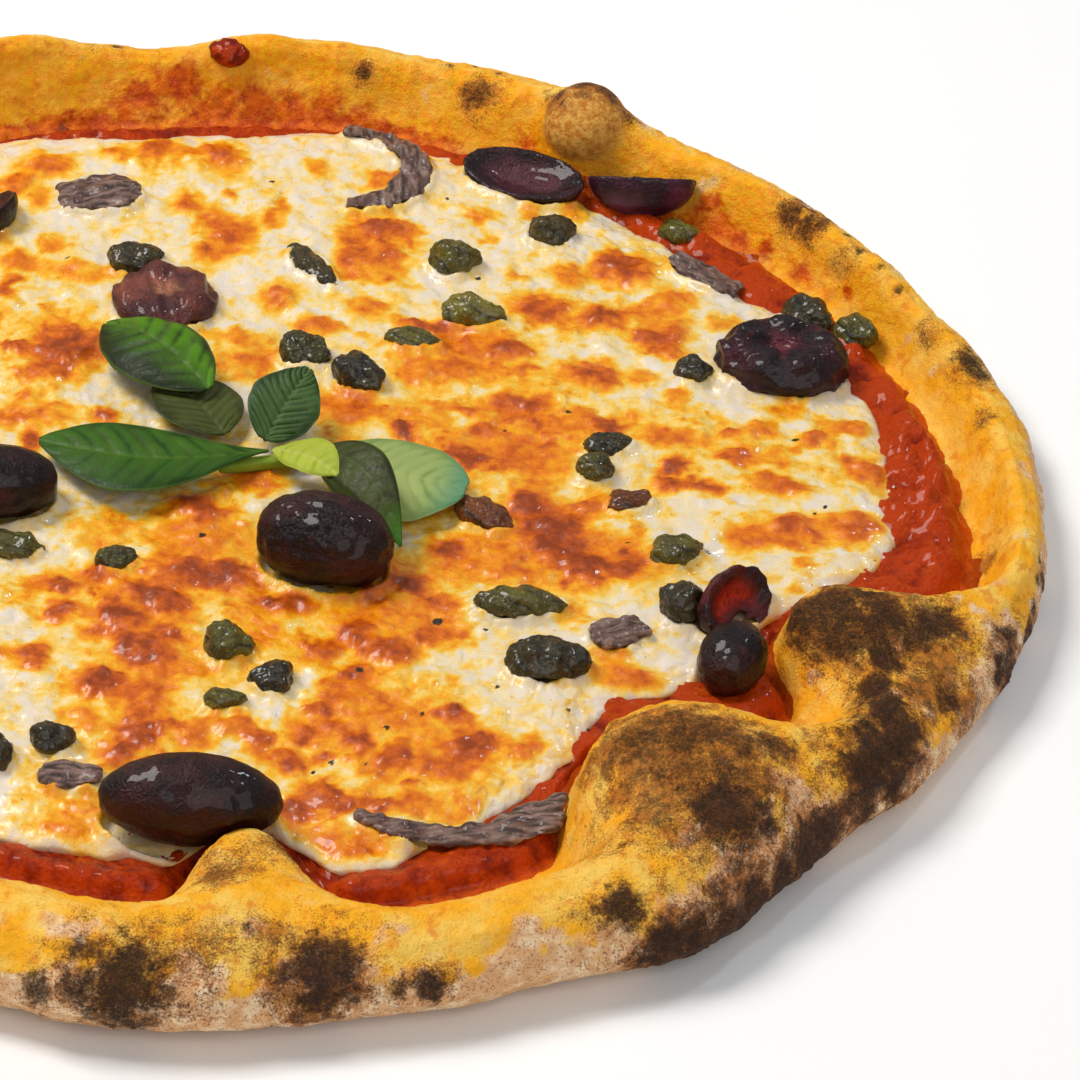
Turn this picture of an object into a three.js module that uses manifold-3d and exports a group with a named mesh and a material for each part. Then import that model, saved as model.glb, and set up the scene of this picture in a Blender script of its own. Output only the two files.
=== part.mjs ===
// A whole round pizza: a leavened dough disc with a tall, blistered rim, a tomato layer, melted mozzarella,
// and on top of them olives, caper buds, anchovy fillets and a sprig of basil.
// Millimetres, +Z up. The origin is the middle of the flat underside. Angles are in degrees from +X towards +Y.
import * as THREE from "three";
import { mergeVertices } from "three/addons/utils/BufferGeometryUtils.js";
import Module from "manifold-3d";

const wasm = await Module();
wasm.setup();

// ---------------------------------------------------------------- driving dimensions

const CONTACT_INSET = 14; // how far inside the edge the underside leaves the table
const CREST_SHARE = 0.42; // the crest's place between edge and foot
const EDGE_LEVEL = 0.4; // the outermost line's height, as a share of the crest's
const BASE_TOP = 3.2; // thickness of the dough under the filling
const GAP = 0.3; // clearance between touching pieces

const SAUCE_TOP = 4.6; // tomato level under the cheese
const SAUCE_BULGE = 1.7; // how far the bare tomato ring stands above that
const SAUCE_CLEARANCE = 1.2; // between the tomato and the rim's foot
const CHEESE_BOTTOM = SAUCE_TOP + GAP;
const CHEESE_TOP = 7.8; // mean level of the cheese's upper face
const CHEESE_RELIEF = 0.9; // height of its lumps
const CHEESE_EDGE = 1.3; // thickness where it ends
const CHEESE_SLOPE = 9; // width over which it thins out

const DOUGH_SEGMENTS = 120;
const LAYER_SEGMENTS = 72;

// The rim, sector by sector: angle, edge radius, crest height, radius of the inner slope's foot, and radius of
// the melted cheese. Between two sectors each value changes smoothly.
const SECTORS = [
  [0, 154, 14, 141, 126],
  [15, 156, 13, 139, 129],
  [32, 152, 14, 138, 127],
  [45, 151, 15, 137, 122],
  [57, 149, 15, 131, 124],
  [68, 151, 18, 130, 123],
  [80, 150, 17.5, 131, 127],
  [87, 148.5, 19, 131, 128],
  [93, 148, 20.5, 130, 124],
  [97, 147.5, 19.5, 130, 122],
  [101.5, 146, 15.5, 129, 125],
  [107, 148, 19, 130, 124],
  [114, 149.5, 21.5, 132, 129],
  [125, 151, 21, 130, 123],
  [142, 151, 20, 124, 112],
  [158, 154, 21, 122, 106],
  [175, 152, 18, 126, 115],
  [192, 150, 16, 126, 116],
  [207, 152, 19, 122, 110],
  [222, 153, 19, 121, 110],
  [240, 150, 17, 120, 112],
  [255, 150, 19, 118, 109],
  [270, 152, 19, 119, 110],
  [285, 148, 17, 120, 113],
  [298, 148, 18, 120, 107],
  [307, 152, 20, 120, 103],
  [315, 148, 20, 120, 97],
  [324, 146, 19, 119, 93],
  [335, 149, 16, 120, 106],
  [346, 151, 17, 132, 106],
  [354, 153, 15, 140, 121],
];
// Round blisters that stand on the rim: place, radius across, and the height of their top.
const BLISTERS = [
  { angle: -44, distance: 123, radius: 23, top: 24 },
  { angle: -17.5, distance: 122, radius: 15, top: 20.5 },
  { angle: -83.5, distance: 113, radius: 12, top: 15 },
  { angle: 152, distance: 124, radius: 20, top: 23 },
  { angle: -148, distance: 120, radius: 16, top: 21 },
];

// A bubble that has risen to a ball on the rim's inner slope.
const BUBBLE = { angle: 63.7, distance: 137.6, height: 15.4, radius: 8.6 };

// ---------------------------------------------------------------- shared shape functions

const GOLDEN_ANGLE = Math.PI * (3 - Math.sqrt(5));
const WAVE_COUNT = 5;
const WAVE_SPREAD = 0.23; // each wave is this much shorter than the one before
const WAVE_SHIFT = 1.7;

// Smooth, repeatable unevenness from -1 to 1: sine waves that cross in several directions.
function waves(x, y, wavelength, phase) {
  let sum = 0;
  for (let k = 0; k < WAVE_COUNT; k++) {
    const direction = phase + k * GOLDEN_ANGLE;
    const along = x * Math.cos(direction) + y * Math.sin(direction);
    const pitch = ((2 * Math.PI) / wavelength) * (1 + WAVE_SPREAD * k);
    sum += Math.sin(along * pitch + phase * (k + 1) * WAVE_SHIFT);
  }
  return sum / WAVE_COUNT;
}

const mix = THREE.MathUtils.lerp;
const radians = THREE.MathUtils.degToRad;
const polar = (angle, radius) => [radius * Math.cos(radians(angle)), radius * Math.sin(radians(angle))];

// The values of one column of the sectors at any angle.
function sectorValue(angle, column) {
  const turn = THREE.MathUtils.euclideanModulo(angle, 360);
  const after = SECTORS.findIndex(([start]) => start > turn);
  const from = SECTORS.at(after - 1 < 0 ? -1 : after - 1);
  const to = after < 0 ? SECTORS[0] : SECTORS[after];
  const share = (turn - from[0]) / (after < 0 ? 360 - from[0] : to[0] - from[0]);
  return mix(from[column], to[column], THREE.MathUtils.smoothstep(share, 0, 1));
}

const edgeRadius = (angle) => sectorValue(angle, 1) + waves(...polar(angle, 150), 60, 2.1);
const crestHeight = (angle) => sectorValue(angle, 2) + waves(...polar(angle, 150), 50, 0.7);

// The inner slope's foot goes round the blisters that reach further in.
function footRadius(angle) {
  return BLISTERS.reduce((foot, blister) => {
    const away = Math.abs(THREE.MathUtils.euclideanModulo(angle - blister.angle + 180, 360) - 180);
    const share = away / THREE.MathUtils.radToDeg(Math.asin(blister.radius / blister.distance));
    const inner = blister.distance - blister.radius;
    if (share > 1 || inner > foot) return foot;
    return Math.min(foot, mix(foot, inner, Math.sqrt(1 - share * share)));
  }, sectorValue(angle, 3));
}

const sauceRadius = (angle) => footRadius(angle) - SAUCE_CLEARANCE;
const cheeseRadius = (angle) => {
  const ragged = sectorValue(angle, 4) + 2 * waves(...polar(angle, 110), 38, 1.3);
  return Math.min(ragged, sauceRadius(angle) - 2);
};

// Raises a height to a blister's dome where one stands there.
function withBlisters(x, y, height) {
  return BLISTERS.reduce((raised, { angle, distance, radius, top }) => {
    const [cx, cy] = polar(angle, distance);
    const share = Math.hypot(x - cx, y - cy) / radius;
    return share < 1 ? Math.max(raised, top * Math.pow(1 - Math.pow(share, 3), 0.4)) : raised;
  }, height);
}

// The upper face of the cheese: lumps of melted mozzarella that thin out at the edge.
function cheeseHeight(x, y) {
  const radius = Math.hypot(x, y);
  const edge = cheeseRadius(THREE.MathUtils.radToDeg(Math.atan2(y, x)));
  const full = CHEESE_TOP + CHEESE_RELIEF * (0.7 * waves(x, y, 34, 0.4) + 0.5 * waves(x, y, 15, 2.6));
  const rise = THREE.MathUtils.clamp((edge - radius) / CHEESE_SLOPE, 0, 1);
  return mix(CHEESE_BOTTOM + CHEESE_EDGE, full, Math.sin((rise * Math.PI) / 2));
}

// ---------------------------------------------------------------- solids

// Only the positions, with shared vertices merged: what a closed solid is made from.
function welded(geometry) {
  const bare = new THREE.BufferGeometry().setAttribute("position", geometry.getAttribute("position"));
  bare.setIndex(geometry.index);
  return mergeVertices(bare, 1e-4);
}

function solidOf(geometry) {
  const { attributes, index } = welded(geometry);
  return new wasm.Manifold(
    new wasm.Mesh({
      numProp: 3,
      vertProperties: new Float32Array(attributes.position.array),
      triVerts: new Uint32Array(index.array),
    }),
  );
}

function geometryOf(solid) {
  const { vertProperties, triVerts } = solid.getMesh();
  const geometry = new THREE.BufferGeometry();
  geometry.setAttribute("position", new THREE.BufferAttribute(vertProperties, 3));
  geometry.setIndex(new THREE.BufferAttribute(triVerts, 1));
  return geometry;
}

const largestBody = (solid) => solid.decompose().reduce((a, b) => (a.volume() > b.volume() ? a : b));

// A body of revolution about Z whose rings are placed by a function of (angle in degrees, ring number),
// which gives [radius, height]. The first and the last ring lie on the axis.
function ringedSolid(ringCount, segments, place) {
  const profile = Array.from({ length: ringCount }, (_, ring) => {
    const onAxis = ring === 0 || ring === ringCount - 1;
    return new THREE.Vector2(onAxis ? 0 : 1, ring);
  });
  const geometry = new THREE.LatheGeometry(profile, segments);
  geometry.rotateX(Math.PI / 2);
  const position = geometry.getAttribute("position");
  for (let i = 0; i < position.count; i++) {
    const ring = Math.round(position.getZ(i));
    const step = Math.floor(i / ringCount) % segments;
    const angle = (360 * step) / segments;
    const [radius, height] = place(angle, ring);
    position.setXYZ(i, ...polar(angle, radius), height);
  }
  return outwards(welded(geometry));
}

// Turns every triangle round if the closed surface faces inwards.
function outwards(geometry) {
  const { array } = geometry.index;
  const corners = [0, 1, 2].map(() => new THREE.Vector3());
  let volume = 0;
  for (let i = 0; i < array.length; i += 3) {
    corners.forEach((corner, k) => corner.fromBufferAttribute(geometry.getAttribute("position"), array[i + k]));
    volume += corners[0].dot(corners[1].clone().cross(corners[2]));
  }
  if (volume < 0) {
    for (let i = 0; i < array.length; i += 3) {
      [array[i + 1], array[i + 2]] = [array[i + 2], array[i + 1]];
    }
  }
  return geometry;
}

// A thin sheet of the given thickness round a middle surface, point(u, v) with u from 0 to 1 along it and
// v from -1 to 1 across it. Both faces are split into triangles alike.
function sheetSolid(along, across, point, thickness) {
  const faceSize = (along + 1) * (across + 1);
  const at = (i, j) => i * (across + 1) + j;
  const positions = [];
  for (const side of [1, -1]) {
    for (let i = 0; i <= along; i++) {
      for (let j = 0; j <= across; j++) {
        const u = i / along;
        const v = (2 * j) / across - 1;
        const { x, y, z } = point(u, v);
        positions.push(x, y, z + (side * thickness(u, v)) / 2);
      }
    }
  }
  const indices = [];
  for (let i = 0; i < along; i++) {
    for (let j = 0; j < across; j++) {
      const [a, b, c, d] = [at(i, j), at(i + 1, j), at(i + 1, j + 1), at(i, j + 1)];
      indices.push(a, b, c, a, c, d);
      indices.push(a + faceSize, c + faceSize, b + faceSize, a + faceSize, d + faceSize, c + faceSize);
    }
  }
  const border = [];
  for (let i = 0; i < along; i++) border.push(at(i, 0));
  for (let j = 0; j < across; j++) border.push(at(along, j));
  for (let i = along; i > 0; i--) border.push(at(i, across));
  for (let j = across; j > 0; j--) border.push(at(0, j));
  border.forEach((a, k) => {
    const b = border[(k + 1) % border.length];
    indices.push(b, a, a + faceSize, b, a + faceSize, b + faceSize);
  });
  const geometry = new THREE.BufferGeometry();
  geometry.setAttribute("position", new THREE.Float32BufferAttribute(positions, 3));
  geometry.setIndex(indices);
  return outwards(welded(geometry));
}

// ---------------------------------------------------------------- dough, tomato and cheese

// One cross-section of the dough, ring by ring, from the middle of the underside round the rim to the
// middle of the base's upper face.
const LOWER_TURNS = [-90, -60, -32, 0]; // degrees round the rim's lower, outer quarter
const UPPER_TURNS = [28, 58, 90]; // and round its upper, outer quarter
const INNER_SHARES = [0.22, 0.42, 0.62, 0.82, 1]; // from the crest down to the foot
const DOUGH_RELIEF = 0.9;
const BALL_TURNS = 14;
const BALL_STATIONS = 9;

function doughSection() {
  return [
    () => [0, 0],
    ...LOWER_TURNS.map((turn) => (angle) => {
      const edge = edgeRadius(angle);
      const level = EDGE_LEVEL * crestHeight(angle);
      const out = CONTACT_INSET * Math.cos(radians(turn));
      return [edge - CONTACT_INSET + out, level * (1 + Math.sin(radians(turn)))];
    }),
    ...UPPER_TURNS.map((turn) => (angle) => {
      const edge = edgeRadius(angle);
      const crest = crestHeight(angle);
      const reach = CREST_SHARE * (edge - footRadius(angle));
      const lift = (1 - EDGE_LEVEL) * crest * Math.sin(radians(turn));
      return [edge - reach * (1 - Math.cos(radians(turn))), EDGE_LEVEL * crest + lift];
    }),
    ...INNER_SHARES.map((share) => (angle) => {
      const foot = footRadius(angle);
      const crestRadius = mix(edgeRadius(angle), foot, CREST_SHARE);
      const fall = 0.5 + 0.5 * Math.cos(Math.PI * share);
      return [mix(crestRadius, foot, share), mix(BASE_TOP, crestHeight(angle), fall)];
    }),
    () => [0, BASE_TOP],
  ];
}

function doughGeometry() {
  const section = doughSection();
  const firstUpper = 1 + LOWER_TURNS.length;
  const foot = section.length - 2;
  const disc = ringedSolid(section.length, DOUGH_SEGMENTS, (angle, ring) => {
    const [radius, height] = section[ring](angle);
    if (ring < firstUpper || ring >= foot) return [radius, height];
    const [x, y] = polar(angle, radius);
    const fade = Math.sin((Math.PI * (ring - firstUpper + 1)) / (foot - firstUpper + 1));
    return [radius, withBlisters(x, y, height + DOUGH_RELIEF * fade * waves(x, y, 19, 3.3))];
  });
  const ball = new THREE.SphereGeometry(BUBBLE.radius, BALL_TURNS, BALL_STATIONS);
  ball.rotateX(Math.PI / 2).translate(...polar(BUBBLE.angle, BUBBLE.distance), BUBBLE.height);
  return geometryOf(solidOf(disc).add(solidOf(ball)));
}

// The tomato: flat under the cheese, and a lumpy ring outside it.
function sauceGeometry() {
  const bulge = (angle) => {
    const width = sauceRadius(angle) - cheeseRadius(angle);
    const [x, y] = polar(angle, sauceRadius(angle));
    return SAUCE_BULGE * Math.min(1, width / 8) * (1 + 0.35 * waves(x, y, 12, 0.9));
  };
  const inner = (angle) => cheeseRadius(angle) + 0.5;
  const section = [
    () => [0, BASE_TOP + GAP],
    (angle) => [sauceRadius(angle), BASE_TOP + GAP],
    (angle) => [sauceRadius(angle), SAUCE_TOP - 0.3],
    (angle) => [mix(inner(angle), sauceRadius(angle), 0.75), SAUCE_TOP + bulge(angle)],
    (angle) => [mix(inner(angle), sauceRadius(angle), 0.3), SAUCE_TOP + 0.8 * bulge(angle)],
    (angle) => [inner(angle), SAUCE_TOP],
    () => [0, SAUCE_TOP],
  ];
  return ringedSolid(section.length, LAYER_SEGMENTS, (angle, ring) => section[ring](angle));
}

const CHEESE_RINGS = [1, 0.97, 0.92, 0.84, 0.73, 0.61, 0.48, 0.34, 0.18];

function cheeseGeometry() {
  return ringedSolid(CHEESE_RINGS.length + 3, LAYER_SEGMENTS, (angle, ring) => {
    if (ring === 0) return [0, CHEESE_BOTTOM];
    if (ring === 1) return [cheeseRadius(angle) - 0.3, CHEESE_BOTTOM];
    const radius = (CHEESE_RINGS[ring - 2] ?? 0) * cheeseRadius(angle);
    return [radius, cheeseHeight(...polar(angle, radius))];
  });
}

// ---------------------------------------------------------------- toppings

const OLIVE_TURNS = 12;
const OLIVE_STATIONS = 9;

// A whole olive, long along X. A higher taper draws its ends out to points.
function wholeOlive(length, width, taper = 0.85) {
  const profile = Array.from({ length: OLIVE_STATIONS }, (_, i) => {
    const t = (Math.PI * i) / (OLIVE_STATIONS - 1);
    const end = i === 0 || i === OLIVE_STATIONS - 1;
    return new THREE.Vector2(end ? 0 : (width / 2) * Math.pow(Math.sin(t), taper), (-length / 2) * Math.cos(t));
  });
  return outwards(welded(new THREE.LatheGeometry(profile, OLIVE_TURNS).rotateZ(-Math.PI / 2)));
}

// A ball whose upper half is reshaped: top(x, y) gives its height from the unit disc's coordinates.
function reshapedBall(length, width, height, top) {
  const ball = new THREE.SphereGeometry(1, OLIVE_TURNS, OLIVE_STATIONS - 1).rotateX(Math.PI / 2);
  const position = ball.getAttribute("position");
  for (let i = 0; i < position.count; i++) {
    const [x, y, z] = [position.getX(i), position.getY(i), position.getZ(i)];
    const high = z > 0.02 ? top(x, y) : height * Math.min(z, 0);
    position.setXYZ(i, (length / 2) * x, (width / 2) * y, high);
  }
  return outwards(welded(ball));
}

// Half an olive without its stone, hollow side up, with a flat lip round the hollow.
const HALF_OLIVE_DEPTH = 0.55; // of its width
const HOLLOW_DEPTH = 0.42; // of the depth
const LIP_START = 0.84; // of the half width

function halfOlive(length, width) {
  const depth = HALF_OLIVE_DEPTH * width;
  return reshapedBall(length, width, depth, (x, y) => {
    const inside = Math.max(0, 1 - (x * x + y * y) / (LIP_START * LIP_START));
    return -HOLLOW_DEPTH * depth * inside;
  });
}

// A stoned olive torn open and pressed flat: a puckered ring round a dent.
function tornOlive(length, width, fullness = 0.42) {
  const height = fullness * width;
  return reshapedBall(length, width, height, (x, y) => {
    const out = Math.min(1, x * x + y * y);
    const dent = 0.75 * Math.exp(-out / 0.16);
    const pucker = 1 + 0.12 * Math.sin(5 * Math.atan2(y, x));
    return height * (Math.sqrt(1 - out) * pucker - dent);
  });
}

// A pickled bud: a pinched, faceted ball.
function caperBud(length, width) {
  const ball = new THREE.IcosahedronGeometry(1, 1);
  const position = ball.getAttribute("position");
  for (let i = 0; i < position.count; i++) {
    const [x, y, z] = [position.getX(i), position.getY(i), position.getZ(i)];
    const pinch = 1 + 0.16 * waves(6 * x + length, 6 * y + width, 9, 1.9);
    const taper = 1 - 0.25 * x;
    position.setXYZ(i, (length / 2) * x, (width / 2) * y * pinch * taper, 0.42 * width * z * pinch * taper);
  }
  return outwards(welded(ball));
}

const BLOB_UNEVENNESS = 0.1;

// A lump of tomato: an uneven, low ball.
function tomatoBlob() {
  const ball = new THREE.IcosahedronGeometry(1, 2);
  const position = ball.getAttribute("position");
  for (let i = 0; i < position.count; i++) {
    const place = new THREE.Vector3().fromBufferAttribute(position, i);
    const uneven = 1 + BLOB_UNEVENNESS * waves(4 * place.x, 4 * place.y + 3 * place.z, 5, 2.2);
    place.multiply(new THREE.Vector3(TOMATO_BLOB.length, TOMATO_BLOB.width, TOMATO_BLOB.height));
    position.setXYZ(i, ...place.multiplyScalar(uneven / 2));
  }
  return outwards(welded(ball));
}

const ANCHOVY_THICKNESS = 1.9;

// A fillet strip that lies on the cheese. (x, y) is its middle, turn its heading there, and bend the angle
// it turns through from end to end. taper makes it narrower towards its start.
function anchovyStrip({ x, y, turn, length, width, bend, taper = 0 }) {
  const middle = (u) => {
    const turned = radians(bend) * (u - 0.5);
    const reach = length * (u - 0.5) * (Math.sin(turned / 2) / (turned / 2 || 1) || 1);
    const chord = radians(turn) + turned / 2;
    return { mx: x + reach * Math.cos(chord), my: y + reach * Math.sin(chord), heading: radians(turn) + turned };
  };
  const halfWidth = (u) => {
    const rounded = 0.35 + 0.65 * Math.pow(Math.sin(Math.PI * mix(0.08, 0.92, u)), 0.7);
    return (width / 2) * rounded * (1 - taper * (1 - u));
  };
  const point = (u, v) => {
    const { mx, my, heading } = middle(u);
    const side = v * halfWidth(u) * (1 + 0.15 * Math.sin(9 * u + x));
    const px = mx - side * Math.sin(heading);
    const py = my + side * Math.cos(heading);
    return new THREE.Vector3(px, py, cheeseHeight(px, py) + GAP + 0.5 * ANCHOVY_THICKNESS);
  };
  const stations = Math.max(4, Math.round(length / 4));
  return sheetSolid(stations, 2, point, (u, v) => ANCHOVY_THICKNESS * (1 - 0.5 * Math.abs(v)));
}

const LEAF_THICKNESS = 0.8;

// A basil leaf from its stalk end to its tip. lift is how far its middle arches above the straight line,
// bow how far it swings to the left of it, camber how far the margins droop, and roll tips the leaf about
// its length.
function basilLeaf({ from, to, width, lift, bow, camber, roll }) {
  const start = new THREE.Vector3(...from);
  const end = new THREE.Vector3(...to);
  const forward = end.clone().sub(start).setZ(0).normalize();
  const sideways = new THREE.Vector3(-forward.y, forward.x, 0);
  const halfWidth = (u) => 0.5 * width * Math.pow(Math.sin(Math.PI * Math.pow(mix(0.02, 0.985, u), 0.85)), 0.8);
  const point = (u, v) => {
    const side = v * halfWidth(u);
    const arch = Math.sin(Math.PI * u);
    const middle = start.clone().lerp(end, u);
    middle.addScaledVector(sideways, bow * arch + side * Math.cos(radians(roll)));
    middle.z += lift * arch + side * Math.sin(radians(roll)) - camber * v * v * arch + 0.35 * v * Math.sin(7 * u);
    return middle;
  };
  const stations = Math.max(6, Math.round(start.distanceTo(end) / 5));
  return sheetSolid(stations, 4, point, () => LEAF_THICKNESS);
}

// ---------------------------------------------------------------- what lies where

// The lump of tomato on the far rim: its middle, size and turn.
const TOMATO_BLOB = { x: -14.2, y: 137.6, z: 17, length: 9.4, width: 7, height: 6, turn: -8 };

// Olives: middle, length and width, turn of the long axis in degrees, roll about it, how deep they sink, and
// form, the taper of a whole one or the fullness of a torn one.
const OLIVES = [
  { name: "olive_front", kind: wholeOlive, x: 2, y: -101, length: 33, width: 17, turn: 3, sink: 2.5, form: 1.1 },
  { name: "olive_centre", kind: wholeOlive, x: 19, y: -24, length: 26, width: 18.5, turn: -10, sink: 3 },
  { name: "olive_left", kind: wholeOlive, x: -44, y: -13, length: 25, width: 15, turn: 10, sink: 2.5 },
  { name: "olive_back_open", kind: tornOlive, x: -19, y: 57, length: 22, width: 22, turn: 15, sink: 0, form: 0.32 },
  { name: "olive_far_half", kind: halfOlive, x: 49, y: 110, length: 27, width: 14, turn: -16, roll: 14, sink: -4.5 },
  { name: "olive_far_boat", kind: halfOlive, x: 73.5, y: 110, length: 23, width: 15, turn: 4, roll: -35, sink: -6 },
  { name: "olive_right_torn", kind: tornOlive, x: 103, y: 52, length: 27, width: 22, turn: -4, sink: -1, form: 0.38 },
  { name: "olive_strip", kind: halfOlive, x: 96, y: -29, length: 20, width: 13, turn: 58, roll: 48, sink: -4 },
  { name: "olive_tip", kind: wholeOlive, x: 95, y: -46, length: 16, width: 13, turn: 75, sink: 1.5 },
  { name: "olive_far_left", kind: halfOlive, x: -58, y: 80, length: 18, width: 12, turn: 62, roll: -30, sink: -4 },
  { name: "olive_west_torn", kind: tornOlive, x: -101, y: 22, length: 27, width: 23, turn: 110, sink: -1 },
  { name: "olive_south_west", kind: wholeOlive, x: -86, y: -42, length: 28, width: 17, turn: -40, sink: 2.5 },
  { name: "olive_south", kind: wholeOlive, x: -62, y: -80, length: 26, width: 17, turn: 25, sink: 2.5 },
];

// Caper buds: middle, length, width and turn.
const CAPERS = [
  [-26, 70, 12, 8, 20], [37, 79, 11, 10, 10], [56, 92, 11, 9, 25], [42, 61, 14, 9, -10],
  [9, 73, 18, 6, -50], [10, 43, 12, 9, -20], [21, 36, 12, 9, -35], [31, 50, 13, 6, -4],
  [108, 71, 11, 10, -30], [118, 67, 10, 8, -20], [86, 47, 8, 8, 8], [82, 98, 10, 6, -20],
  [70, 20, 12, 6, 25], [68, 11, 7, 8, -70], [75, 3, 10, 6, 30], [84, -12, 11, 7, 25],
  [86, -29, 10, 10, 19], [56, -32, 19, 8, 8], [62, -49, 17, 10, 7], [4, -51, 9, 10, 8],
  [13, -60, 8, 9, -60], [5, -67, 9, 5, 10], [-24, -82, 9, 7, 7], [-19, -28, 9, 6, 18],
  [48, -6, 13, 8, -25], [-38, -27, 12, 7, 5], [-34, -87, 9, 8, 60], [-74, 10, 12, 9, 40],
];

const ANCHOVIES = [
  { name: "anchovy_back_left", x: -36, y: 93, turn: 20, length: 17, width: 13, bend: 10 },
  { name: "anchovy_back_hook", x: 27, y: 112, turn: -85, length: 46, width: 7, bend: -185 },
  { name: "anchovy_right", x: 87, y: 82, turn: -36, length: 17, width: 8, bend: 20 },
  { name: "anchovy_front", x: 51, y: -97, turn: 16, length: 43, width: 9, bend: 80, taper: 0.6 },
  { name: "anchovy_front_left", x: -20, y: -91, turn: 8, length: 11, width: 7, bend: -20 },
  { name: "anchovy_middle", x: 74, y: -38, turn: 30, length: 11, width: 9, bend: 10 },
  { name: "anchovy_west", x: -68, y: 34, turn: 75, length: 36, width: 9, bend: 110 },
];

// The sprig of basil: the stalk's middle, and each leaf from its stalk end to its tip.
const STALK = { x: 5, y: 4, z: 9.8, turn: 17, length: 17, width: 3 };
const LEAVES = [
  { name: "basil_left", from: [1, 6, 12], to: [-36, 2, 11.5], width: 19, lift: 1.2, bow: 6, camber: 1.5, roll: -6 },
  { name: "basil_under", from: [-3, 11, 11], to: [-16, 30, 10.4], width: 18, lift: 0.8, bow: 0, camber: 0.8, roll: 4 },
  { name: "basil_back", from: [-8, 23, 14], to: [-29, 41, 12.5], width: 19, lift: 3.5, bow: 0, camber: 3, roll: -6 },
  { name: "basil_small", from: [6, 10, 11.6], to: [11, 22, 18], width: 12, lift: 1, bow: 0, camber: 1, roll: 12 },
  { name: "basil_pale", from: [19, 2, 12.4], to: [43, -2, 12.8], width: 20, lift: 1, bow: -1, camber: 1.2, roll: 8 },
  { name: "basil_dark", from: [17, -1, 16], to: [33, -22, 14], width: 8, lift: 5.5, bow: 2, camber: 1.2, roll: 30 },
  { name: "basil_bract", from: [9, 3, 12.5], to: [19, -9, 20], width: 7, lift: 1, bow: 1, camber: 0.5, roll: 25 },
];

// ---------------------------------------------------------------- assembly

const finishes = {
  dough: { color: 0xd9993f, roughness: 0.8 },
  sauce: { color: 0xa82a08, roughness: 0.45 },
  cheese: { color: 0xefd9a0, roughness: 0.4 },
  olive: { color: 0x2a1013, roughness: 0.25 },
  caper: { color: 0x3a3a12, roughness: 0.4 },
  anchovy: { color: 0x5c4a3c, roughness: 0.5 },
  basil: { color: 0x2f6418, roughness: 0.45 },
};
const materials = Object.fromEntries(
  Object.entries(finishes).map(([name, finish]) => [
    name,
    new THREE.MeshStandardMaterial({ name, metalness: 0, ...finish }),
  ]),
);

const pizza = new THREE.Group();
const laidDown = []; // what is in place already, as solids: each later piece is cut to it

const STEPS = [[0, 0, 0], [1, 0, 0], [-1, 0, 0], [0, 1, 0], [0, -1, 0], [0, 0, 1], [0, 0, -1]];

// A solid and its copies one gap away on every side: what a neighbour has to stay clear of.
function withClearance(solid) {
  return wasm.Manifold.union(STEPS.map((step) => solid.translate(step.map((way) => way * GAP))));
}

const apart = (a, b) =>
  [0, 1, 2].some((axis) => a.min[axis] > b.max[axis] + GAP || b.min[axis] > a.max[axis] + GAP);

const FACET_TOLERANCE = 0.1; // cut faces are made of as few triangles as this allows

// Adds one piece where the placement puts it, less what it would share with what lies under or beside it.
function addPiece(name, geometry, material, placement = new THREE.Object3D()) {
  placement.updateMatrix();
  let solid = solidOf(geometry.clone().applyMatrix4(placement.matrix));
  let cut = false;
  for (const neighbour of laidDown) {
    if (apart(solid.boundingBox(), neighbour.solid.boundingBox())) continue;
    neighbour.cutter ??= withClearance(neighbour.solid);
    solid = solid.subtract(neighbour.cutter);
    cut = true;
  }
  if (cut) solid = largestBody(solid.simplify(FACET_TOLERANCE));
  laidDown.push({ solid });
  const mesh = new THREE.Mesh(geometryOf(solid).applyMatrix4(placement.matrix.clone().invert()), material);
  mesh.name = name;
  mesh.applyMatrix4(placement.matrix);
  pizza.add(mesh);
}

// A placement on the cheese: turned about Z, then rolled about its own length.
function laid(x, y, z, turn, roll = 0) {
  const placement = new THREE.Object3D();
  placement.position.set(x, y, z);
  placement.rotation.set(radians(roll), 0, radians(turn), "ZYX");
  return placement;
}

addPiece("dough", doughGeometry(), materials.dough);
addPiece("tomato_sauce", sauceGeometry(), materials.sauce);
addPiece("mozzarella", cheeseGeometry(), materials.cheese);
const blobPlace = laid(TOMATO_BLOB.x, TOMATO_BLOB.y, TOMATO_BLOB.z, TOMATO_BLOB.turn);
addPiece("tomato_blob", tomatoBlob(), materials.sauce, blobPlace);

for (const { name, kind, x, y, length, width, turn, roll, sink, form } of OLIVES) {
  const rest = kind === wholeOlive ? width / 2 : 0;
  const z = cheeseHeight(x, y) + rest - sink;
  addPiece(name, kind(length, width, form), materials.olive, laid(x, y, z, turn, roll));
}

for (const strip of ANCHOVIES) {
  addPiece(strip.name, anchovyStrip(strip), materials.anchovy);
}

CAPERS.forEach(([x, y, length, width, turn], index) => {
  const name = `caper_${String(index + 1).padStart(2, "0")}`;
  const z = cheeseHeight(x, y) + 0.14 * width;
  addPiece(name, caperBud(length, width), materials.caper, laid(x, y, z, turn));
});

const stalk = new THREE.LatheGeometry(
  [[0, -0.5], [0.42, -0.48], [0.5, -0.2], [0.5, 0.25], [0.34, 0.48], [0, 0.5]].map(
    ([radius, along]) => new THREE.Vector2(radius * STALK.width, along * STALK.length),
  ),
  8,
).rotateZ(-Math.PI / 2);
addPiece("basil_stalk", outwards(welded(stalk)), materials.basil, laid(STALK.x, STALK.y, STALK.z, STALK.turn));

for (const leaf of LEAVES) {
  addPiece(leaf.name, basilLeaf(leaf), materials.basil);
}

export default pizza;
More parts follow.
